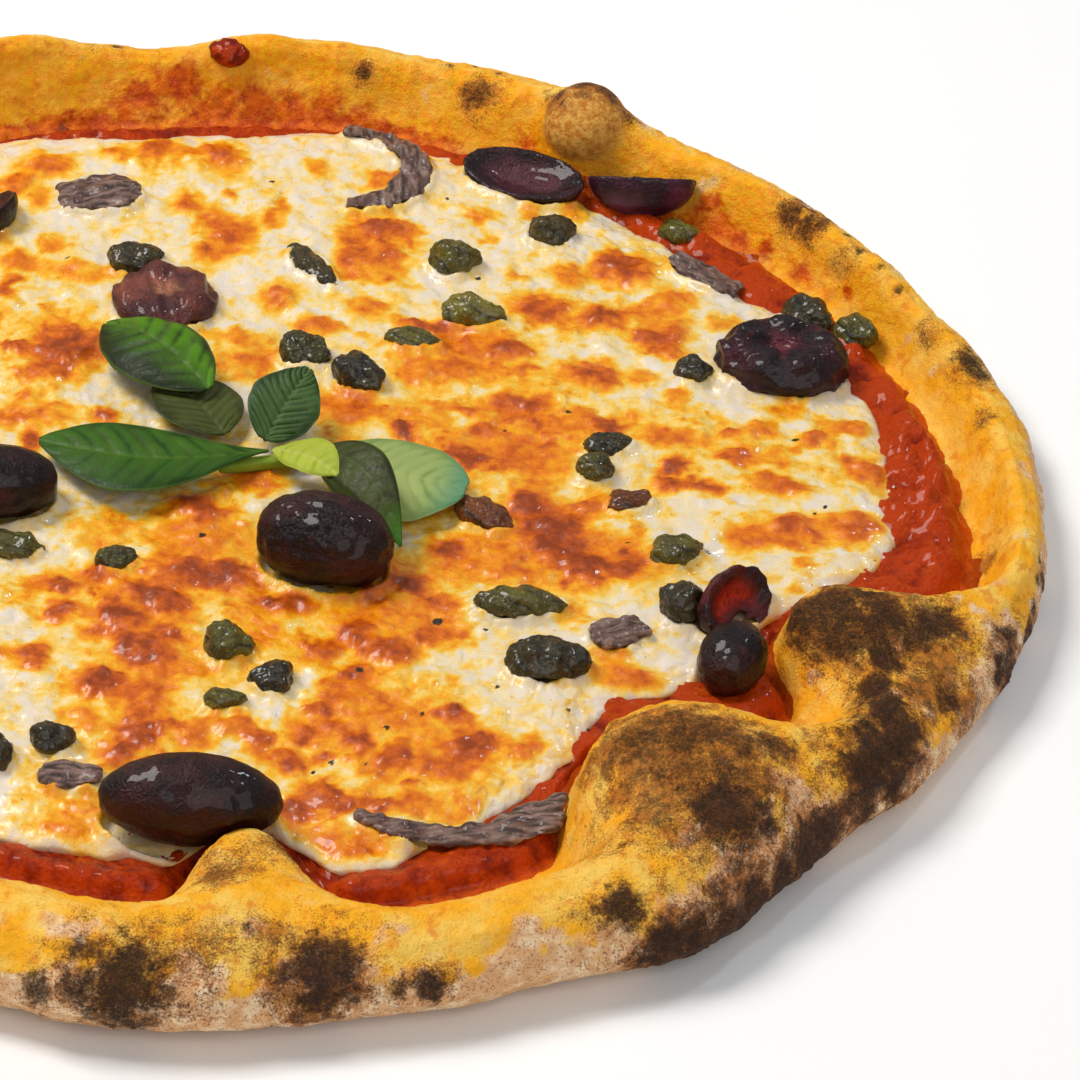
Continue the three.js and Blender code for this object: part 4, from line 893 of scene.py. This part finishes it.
def make_leaf(name, material, start, end, width, lift, bow, droop, roll, veins, vein_depth, fold, belly, blunt, seed):
    start, end = np.array(start, float), np.array(end, float)
    forward = (end - start) * (1, 1, 0)
    forward /= np.linalg.norm(forward)
    sideways = np.array([-forward[1], forward[0], 0])
    u, v = np.meshgrid(np.linspace(0, 1, LEAF_LENGTHWAYS), np.linspace(-1, 1, LEAF_CROSSWAYS), indexing="ij")
    half = 0.5 * width * np.sin(np.pi * mix(0.02, 0.985, u) ** belly) ** blunt
    outline = np.column_stack([18 * u.ravel(), np.zeros((u.size, 2))])
    half *= 1 + 0.05 * noise(outline, 3.5, seed).reshape(u.shape)
    arch = np.sin(np.pi * u)
    aside = half * v
    flat = np.stack([width * u, aside, np.full_like(u, seed)], -1).reshape(-1, 3)
    phase = veins * u - 0.32 * veins * np.abs(v) ** 1.2 * half.max() / (0.5 * np.linalg.norm(end - start))
    from_vein = np.abs(phase - np.round(phase))
    vein = np.exp(-((from_vein / 0.13) ** 2)) * smooth_step(1.02, 0.7, np.abs(v)) * smooth_step(0, 0.08, u)
    midrib = np.exp(-((aside / 0.45) ** 2))
    swell = np.sin(np.pi * np.clip(from_vein * 2, 0, 1)) * smooth_step(1, 0.6, np.abs(v))
    wave = (0.5 * noise(flat, 9, seed) + 0.35 * v.ravel() ** 2 * noise(flat, 4, seed + 1)).reshape(u.shape)
    rise = lift * arch - droop * v**2 * arch + fold * np.abs(v) * arch + wave
    rise += vein_depth * (0.8 * swell - 0.9 * vein - 1.1 * midrib)
    tilt = math.radians(roll)
    place = start + (end - start) * u[..., None] + sideways * (bow * arch + aside * math.cos(tilt))[..., None]
    place[..., 2] += rise + aside * math.sin(tilt)
    normal = grid_normals(place, False)
    normal *= np.sign(normal[..., 2:3].mean())
    margin = np.clip((1 - np.abs(v)) * 6, 0.15, 1)[..., None]
    upper = place + normal * 0.5 * LEAF_THICKNESS * margin
    lower = place - normal * 0.5 * LEAF_THICKNESS * margin
    quads = grid_quads(LEAF_LENGTHWAYS, LEAF_CROSSWAYS)
    border = border_of(np.arange(u.size).reshape(u.shape))
    faces = np.vstack([quads, quads[:, ::-1] + u.size, ring_quads(border, border + u.size)])
    mesh = new_mesh(np.vstack([upper.reshape(-1, 3), lower.reshape(-1, 3)]), faces)
    values = {"vein": np.maximum(vein * 0.7, midrib), "across": v, "along": u, "quilt": swell}
    values = {key: np.tile(numbers.ravel(), 2) for key, numbers in values.items()}
    finish_piece(name + "_leaf", mesh, material, name, values)


def make_stalk(material):
    mesh, points = remeshed("basil_stalk", STALK_VOXEL, STALK_PASSES)
    own = own_axes(points)
    lift_surface(mesh, points, 0.15 * noise(own, 1.2, 5, (6, 1, 1)))
    none = np.zeros(len(points))
    values = {"vein": none, "across": own[:, 1] / 3, "along": own[:, 0] / 20, "quilt": none}
    finish_piece("basil_stalk_stem", mesh, material, "basil_stalk", values)


# ---------------------------------------------------------------- materials


def shade(red, green, blue):
    """A colour as it looks in the photograph, from 0 to 255, as the light that a shader takes."""
    parts = [part / 255 for part in (red, green, blue)]
    light = [part / 12.92 if part <= 0.04045 else ((part + 0.055) / 1.055) ** 2.4 for part in parts]
    return (*light, 1)


class Finish:
    """A node material that is built up step by step. Sizes are in millimetres."""

    def __init__(self, name, **settings):
        self.material = bpy.data.materials.new(name)
        self.material.use_nodes = True
        self.tree = self.material.node_tree
        self.surface = self.tree.nodes["Principled BSDF"]
        for key, value in settings.items():
            self.surface.inputs[key.replace("_", " ")].default_value = value
        self.place = self.new("ShaderNodeTexCoord").outputs["Object"]

    def new(self, kind, **settings):
        made = self.tree.nodes.new(kind)
        for key, value in settings.items():
            setattr(made, key, value)
        return made

    def feed(self, socket, value):
        if isinstance(value, bpy.types.NodeSocket):
            self.tree.links.new(value, socket)
        else:
            socket.default_value = value

    def value(self, name):
        return self.new("ShaderNodeAttribute", attribute_name=name).outputs["Fac"]

    def noise(self, size, detail=2, roughness=0.5):
        made = self.new("ShaderNodeTexNoise")
        self.feed(made.inputs["Vector"], self.place)
        made.inputs["Scale"].default_value = 1 / (size * MM)
        made.inputs["Detail"].default_value = detail
        made.inputs["Roughness"].default_value = roughness
        return made.outputs["Fac"]

    def cells(self, size):
        made = self.new("ShaderNodeTexVoronoi")
        self.feed(made.inputs["Vector"], self.place)
        made.inputs["Scale"].default_value = 1 / (size * MM)
        return made.outputs["Distance"]

    def math(self, operation, *values):
        made = self.new("ShaderNodeMath", operation=operation)
        for socket, value in zip(made.inputs, values):
            self.feed(socket, value)
        return made.outputs[0]

    def add(self, a, b):
        return self.math("ADD", a, b)

    def times(self, a, b):
        return self.math("MULTIPLY", a, b)

    def step(self, value, low, high, start=0.0, end=1.0):
        made = self.new("ShaderNodeMapRange", interpolation_type="SMOOTHSTEP")
        keys = ("Value", "From Min", "From Max", "To Min", "To Max")
        for key, number in zip(keys, (value, low, high, start, end)):
            self.feed(made.inputs[key], number)
        return made.outputs["Result"]

    def around(self, value, share):
        """A noise as a wobble of the given share round zero."""
        return self.times(self.add(value, -0.5), share)

    def blend(self, share, a, b):
        made = self.new("ShaderNodeMix", data_type="RGBA")
        colours = [socket for socket in made.inputs if socket.type == "RGBA"]
        self.feed(made.inputs[0], share)
        self.feed(colours[0], a)
        self.feed(colours[1], b)
        return [socket for socket in made.outputs if socket.type == "RGBA"][0]

    def tones(self, value, low, high, dark, light):
        """A colour that goes from a dark to a light one with a value."""
        return self.blend(self.step(value, low, high), shade(*dark), shade(*light))

    def spots(self, colour, value, low, high, share, tint):
        """A colour with spots of a tint where a value is high."""
        return self.blend(self.times(self.step(value, low, high), share), colour, shade(*tint))

    def ramp(self, value, *steps):
        """A colour for a share from 0 to 1, from steps of a share and a colour."""
        made = self.new("ShaderNodeValToRGB")
        elements = made.color_ramp.elements
        while len(elements) < len(steps):
            elements.new(0.5)
        for element, (share, colour) in zip(elements, steps):
            element.position, element.color = share, shade(*colour)
        self.feed(made.inputs[0], value)
        return made.outputs["Color"]

    def bump(self, height, depth, normal=None):
        made = self.new("ShaderNodeBump")
        made.inputs["Strength"].default_value = 1
        made.inputs["Distance"].default_value = depth * MM
        self.feed(made.inputs["Height"], height)
        if normal is not None:
            self.feed(made.inputs["Normal"], normal)
        return made.outputs["Normal"]

    def result(self, colour, roughness, normal):
        self.feed(self.surface.inputs["Base Color"], colour)
        self.feed(self.surface.inputs["Roughness"], roughness)
        self.feed(self.surface.inputs["Normal"], normal)
        return self.material


def dough_material():
    f = Finish("baked_dough", Specular_IOR_Level=0.22)
    fine = f.noise(0.42, 3, 0.65)
    grain = f.noise(1.3, 4, 0.6)
    patch = f.noise(7, 4, 0.6)
    golden = f.value("golden")
    floury = f.tones(f.noise(3.2, 4, 0.6), 0.42, 0.66, (230, 176, 124), (252, 222, 180))
    crust = f.tones(patch, 0.38, 0.66, (255, 178, 22), (252, 204, 90))
    colour = f.blend(f.step(f.add(golden, f.around(grain, 0.5)), 0.25, 0.8), floury, crust)
    orange = f.times(f.value("orange"), f.step(patch, 0.3, 0.62, 1, 0.72))
    colour = f.blend(orange, colour, f.tones(grain, 0.35, 0.65, (255, 150, 0), (255, 186, 4)))
    mottled = f.times(f.step(f.noise(3.4, 4, 0.65), 0.52, 0.68), f.times(golden, 0.62))
    colour = f.blend(mottled, colour, shade(228, 122, 8))
    freckle = f.step(f.add(f.times(fine, 0.75), f.times(grain, 0.25)), 0.5, 0.64)
    colour = f.blend(f.times(freckle, f.step(golden, 0.9, 0.15, 0.16, 0.78)), colour, shade(150, 88, 42))
    colour = f.blend(f.value("ball"), colour, f.tones(grain, 0.35, 0.65, (196, 122, 36), (234, 178, 84)))
    brown = f.add(f.value("brown"), f.around(fine, 1.5))
    toasted = f.step(f.add(brown, f.around(grain, 0.5)), 0.22, 0.9)
    roast = f.tones(f.noise(2.4, 5, 0.75), 0.4, 0.62, (88, 42, 12), (182, 106, 36))
    colour = f.blend(f.times(toasted, 0.9), colour, roast)
    char = f.add(f.value("char"), f.around(f.noise(0.55, 3, 0.7), 1.3))
    burnt = f.step(f.add(char, f.around(grain, 0.4)), 0.3, 1.05)
    colour = f.blend(f.times(burnt, 0.92), colour, f.tones(grain, 0.35, 0.7, (24, 13, 8), (64, 36, 18)))
    smear = f.step(f.add(f.value("smear"), f.around(f.noise(1.5, 4, 0.7), 1.3)), 0.15, 1.0)
    wet = f.tones(f.noise(2.6, 4, 0.65), 0.38, 0.62, (186, 44, 0), (232, 100, 0))
    colour = f.blend(f.times(smear, 0.9), colour, wet)
    roughness = f.step(f.add(f.times(f.value("orange"), 0.5), smear), 0, 1.2, 0.66, 0.26)
    height = f.add(f.times(fine, 0.7), f.times(grain, 1.0))
    normal = f.bump(height, 0.42)
    normal = f.bump(f.times(burnt, f.noise(0.9, 3, 0.7)), 0.7, normal)
    return f.result(colour, roughness, normal)


def sauce_material():
    f = Finish("wet_tomato", Specular_IOR_Level=0.1, Coat_Weight=0.2, Coat_Roughness=0.04)
    pulp = f.value("pulp")
    grain = f.noise(0.8, 4, 0.7)
    patch = f.noise(3.4, 4, 0.65)
    colour = f.tones(f.add(patch, f.times(pulp, 0.3)), 0.38, 0.85, (132, 26, 0), (184, 58, 0))
    edge = f.step(f.add(f.value("edge"), f.around(patch, 0.8)), 0.35, 1, 0, 0.8)
    colour = f.blend(edge, colour, shade(214, 92, 2))
    colour = f.spots(colour, f.noise(6, 3, 0.6), 0.56, 0.68, 0.5, (210, 86, 0))
    colour = f.spots(colour, grain, 0.6, 0.72, 0.45, (218, 96, 6))
    colour = f.spots(colour, f.noise(1.6, 3, 0.6), 0.6, 0.7, 0.4, (118, 16, 0))
    colour = f.blend(f.step(pulp, 0.35, -0.25, 0, 0.6), colour, shade(100, 14, 0))
    roughness = f.step(grain, 0.3, 0.7, 0.2, 0.44)
    normal = f.bump(f.add(f.times(grain, 0.9), f.times(f.cells(1.1), 0.5)), 0.55)
    return f.result(colour, roughness, normal)


def cheese_material():
    f = Finish("melted_cheese", Subsurface_Weight=0.08, Subsurface_Scale=0.0015, Specular_IOR_Level=0.3,
               Coat_Weight=0.3, Coat_Roughness=0.07)
    f.surface.inputs["Subsurface Radius"].default_value = (1.0, 0.7, 0.4)
    fine = f.noise(0.5, 3, 0.65)
    grain = f.noise(1.5, 4, 0.65)
    patch = f.noise(5, 4, 0.65)
    white = f.value("white")
    heat = f.add(f.times(f.value("oil"), 0.5), f.times(f.value("toast"), 0.42))
    wide, medium = f.noise(9, 4, 0.6), f.noise(2.8, 3, 0.6)
    for part, share in ((wide, 0.45), (patch, 0.5), (medium, 0.55), (grain, 0.26), (white, -0.1)):
        heat = f.add(heat, f.around(part, share))
    heat = f.add(heat, 0.06)
    colour = f.ramp(
        heat, (0.0, (230, 216, 198)), (0.12, (236, 214, 168)), (0.24, (242, 202, 100)), (0.36, (242, 178, 34)),
        (0.52, (236, 144, 8)), (0.68, (220, 110, 2)), (0.84, (188, 80, 0)), (1.0, (144, 56, 2)),
    )
    toast = f.step(heat, 0.5, 0.9)
    scorch = f.times(f.step(f.add(f.times(fine, 0.55), f.times(grain, 0.45)), 0.52, 0.64), toast)
    colour = f.blend(f.times(scorch, 0.4), colour, shade(140, 58, 0))
    colour = f.spots(colour, f.cells(3.1), 0.08, 0.04, 0.6, (120, 92, 40))
    colour = f.blend(f.step(f.value("fleck"), 0.3, 0.7), colour, shade(50, 34, 16))
    # painted shade: a darker yellow-brown round the olives, capers and anchovies
    colour = f.spots(colour, f.value("shade"), 0.15, 0.8, 0.3, (170, 130, 50))
    roughness = f.step(f.add(fine, f.times(toast, 0.15)), 0.35, 0.75, 0.24, 0.46)
    normal = f.bump(f.add(f.times(grain, 0.9), f.times(fine, 0.25)), 0.3)
    return f.result(colour, roughness, normal)


def olive_material(name="olive_skin", dark=(20, 5, 6), light=(52, 17, 17), flesh=(104, 44, 50)):
    f = Finish(name, Specular_IOR_Level=0.2, Coat_Weight=0.25, Coat_Roughness=0.05)
    tint = f.value("tint")
    grain = f.noise(1.1, 4, 0.6)
    colour = f.tones(f.add(tint, grain), 0.1, 1.2, dark, light)
    colour = f.spots(colour, f.noise(3.5, 3, 0.6), 0.56, 0.7, 0.4, (74, 30, 26))
    colour = f.blend(f.times(f.value("hollow"), f.step(grain, 0.3, 0.7, 0.35, 0.9)), colour, shade(*flesh))
    roughness = f.step(grain, 0.3, 0.7, 0.28, 0.48)
    normal = f.bump(f.add(f.times(f.noise(0.6, 2, 0.5), 0.8), f.times(grain, 0.8)), 0.5)
    return f.result(colour, roughness, normal)


def caper_material(name, deep, bright, pale):
    f = Finish(name, Specular_IOR_Level=0.3, Coat_Weight=0.5, Coat_Roughness=0.05)
    grain = f.noise(0.9, 4, 0.65)
    colour = f.tones(f.add(f.value("tint"), grain), 0.0, 1.4, deep, bright)
    colour = f.spots(colour, f.noise(0.5), 0.58, 0.7, 0.5, pale)
    # painted shade: the folds between the bracts darkened nearly to black
    colour = f.blend(f.step(f.value("painted_crease_shade"), 0.3, 0.85, 0, 0.85), colour, shade(18, 14, 4))
    colour = f.spots(colour, f.noise(2.4, 3, 0.6), 0.56, 0.7, 0.45, (92, 62, 14))
    roughness = f.step(grain, 0.3, 0.7, 0.22, 0.5)
    return f.result(colour, roughness, f.bump(grain, 0.45))


def anchovy_material():
    f = Finish("anchovy_fillet", Specular_IOR_Level=0.35, Coat_Weight=0.25, Coat_Roughness=0.1)
    grain = f.noise(0.8, 4, 0.65)
    colour = f.tones(f.add(f.value("fibre"), f.times(grain, 0.8)), -0.3, 1.2, (58, 38, 32), (146, 116, 104))
    colour = f.blend(f.step(f.value("tint"), 0.2, 0.8, 0, 0.7), colour, shade(86, 52, 46))
    # painted highlights: small pale pinkish-grey spots over the fillet
    colour = f.spots(colour, f.noise(1.4, 3, 0.6), 0.6, 0.7, 0.6, (186, 172, 170))
    roughness = f.step(grain, 0.3, 0.7, 0.26, 0.55)
    return f.result(colour, roughness, f.bump(grain, 0.5))


def leaf_material(name, deep, bright, rib, tip=None, shadow=0.3):
    f = Finish(name, Specular_IOR_Level=0.2)
    grain = f.noise(0.7, 3, 0.6)
    patch = f.noise(7, 3, 0.55)
    colour = f.tones(f.add(patch, f.times(f.value("quilt"), 0.3)), 0.35, 0.8, deep, bright)
    colour = f.blend(f.times(f.value("vein"), 0.4), colour, shade(*rib))
    painted_shade = f.step(f.add(f.value("across"), f.around(patch, 1.6)), -0.5, 0.9, 0, shadow)
    colour = f.blend(painted_shade, colour, shade(*deep))
    if tip:
        colour = f.blend(f.step(f.value("along"), 0.72, 1, 0, 0.8), colour, shade(*tip))
    edge = f.step(f.math("ABSOLUTE", f.value("across")), 0.92, 1, 0, 0.5)
    colour = f.blend(edge, colour, shade(*rib))
    roughness = f.step(grain, 0.3, 0.7, 0.4, 0.58)
    return f.result(colour, roughness, f.bump(f.add(f.times(grain, 0.4), f.times(f.cells(0.9), 0.4)), 0.12))


# Shadowed, lit and rib colour of each leaf, then the colour of its tip and how strong its shadowed half is.
LEAF_COLOURS = {
    "basil_left": ((24, 52, 8), (56, 96, 18), (96, 124, 40), None, 0.4),
    "basil_under": ((40, 46, 14), (74, 82, 34), (88, 96, 50)),
    "basil_back": ((32, 44, 16), (78, 128, 14), (104, 132, 56), None, 1.0),
    "basil_small": ((34, 56, 20), (66, 94, 44), (96, 118, 66)),
    "basil_pale": ((112, 136, 72), (156, 172, 100), (176, 184, 104), (74, 138, 108)),
    "basil_dark": ((36, 40, 10), (60, 68, 20), (78, 96, 28), (56, 112, 14)),
    "basil_bract": ((140, 156, 30), (172, 184, 62), (196, 200, 110)),
}


# ---------------------------------------------------------------- the pizza

cheese_edge = cheese_outline()
cheese_map = CheeseMap()
dough_surface = make_dough(dough_material())
tomato = sauce_material()
make_sauce(tomato, *dough_surface, cheese_edge)
make_blob(tomato)
make_cheese(cheese_material(), cheese_edge, cheese_map)
skin, fillet = olive_material(), anchovy_material()
green_bud = caper_material("caper_green", (40, 38, 4), (118, 108, 20), (168, 158, 62))
dark_bud = caper_material("caper_dark", (26, 22, 4), (74, 60, 12), (124, 112, 60))
brown_bud = caper_material("caper_brown", (70, 24, 2), (138, 70, 10), (196, 132, 40))
opened = {
    "olive_back_open": olive_material("olive_opened", (70, 34, 34), (126, 66, 54), (196, 132, 96)),
    "olive_right_torn": olive_material("olive_torn", (24, 8, 14), (56, 20, 30), (108, 34, 44)),
    "olive_strip": olive_material("olive_strip", (40, 10, 16), (84, 22, 26), (190, 36, 14)),
    "olive_far_boat": olive_material("olive_purple", (44, 18, 34), (88, 42, 66), (116, 40, 40)),
    "olive_far_half": olive_material("olive_half", (26, 10, 14), (56, 24, 32), (96, 50, 56)),
}
BUDS = {
    "caper_15": brown_bud, "caper_17": dark_bud, "caper_18": green_bud, "caper_24": green_bud, "caper_25": brown_bud,
}
for number, name in enumerate(sorted(TOPPINGS)):
    seed = 200 + 10 * number
    if name.startswith("olive"):
        make_olive(name, seed, opened.get(name, skin))
    elif name.startswith("caper"):
        make_caper(name, seed, BUDS.get(name, (green_bud, dark_bud)[number % 2]))
    elif name.startswith("anchovy"):
        make_anchovy(name, seed, fillet)
for name, form in LEAVES.items():
    make_leaf(name, leaf_material(name, *LEAF_COLOURS[name]), **form)
make_stalk(leaf_material("basil_stalk", (126, 150, 40), (164, 182, 66), (176, 190, 84)))


# ---------------------------------------------------------------- floor, light and camera


def aimed(thing, place, target):
    thing.location = place
    thing.rotation_euler = (Vector(target) - Vector(place)).to_track_quat("-Z", "Y").to_euler()
    bpy.context.scene.collection.objects.link(thing)
    return thing


def add_light(name, place, power, size, colour=(1, 1, 1)):
    lamp = bpy.data.lights.new(name, "AREA")
    lamp.energy, lamp.size, lamp.color = power, size, colour
    return aimed(bpy.data.objects.new(name, lamp), place, (0.03, 0, 0))


FLOOR_HALF = 4.0  # metres
FLOOR_LEVEL = -0.0002  # just clear of the underside


def make_floor():
    mesh = bpy.data.meshes.new("floor")
    mesh.from_pydata([(x * FLOOR_HALF, y * FLOOR_HALF, 0) for x, y in ((-1, -1), (1, -1), (1, 1), (-1, 1))], [],
                     [(0, 1, 2, 3)])
    floor = bpy.data.objects.new("floor", mesh)
    bpy.context.scene.collection.objects.link(floor)
    floor.location.z = FLOOR_LEVEL
    mesh.materials.append(Finish("floor", Base_Color=shade(250, 249, 247), Roughness=0.9).material)


make_floor()
add_light("window", (-0.62, 0.2, 1.05), 12.5, 0.5, (1, 0.985, 0.96))
add_light("fill", (0.4, -1.0, 0.9), 5, 1.0)
add_light("sparkle", (0.55, 0.5, 0.8), 1.4, 0.1, (0.8, 0.88, 1))

scene = bpy.context.scene
scene.world = bpy.data.worlds.new("studio")
scene.world.use_nodes = True
sky = scene.world.node_tree.nodes["Background"]
sky.inputs["Color"].default_value = (1, 1, 1, 1)
sky.inputs["Strength"].default_value = 0.26
scene.view_settings.view_transform = "Standard"

# The photograph's viewpoint, fitted to the round board: 1 m away, 36.8 degrees up, tilted a little.
AIM = Vector((0.0585, 0, 0))
VIEWPOINT = (0.0585, -0.8007, 0.5990)
FOCAL_PIXELS, PICTURE_PIXELS, SENSOR = 5279, 1080, 36
TILT = math.radians(4.64)
lens = bpy.data.cameras.new("photographer")
lens.sensor_width = SENSOR
lens.lens = FOCAL_PIXELS / PICTURE_PIXELS * SENSOR
lens.clip_start = 0.05
camera = aimed(bpy.data.objects.new("photographer", lens), VIEWPOINT, AIM)
camera.rotation_euler = (camera.rotation_euler.to_matrix() @ Matrix.Rotation(TILT, 3, "Z")).to_euler()
scene.camera = camera
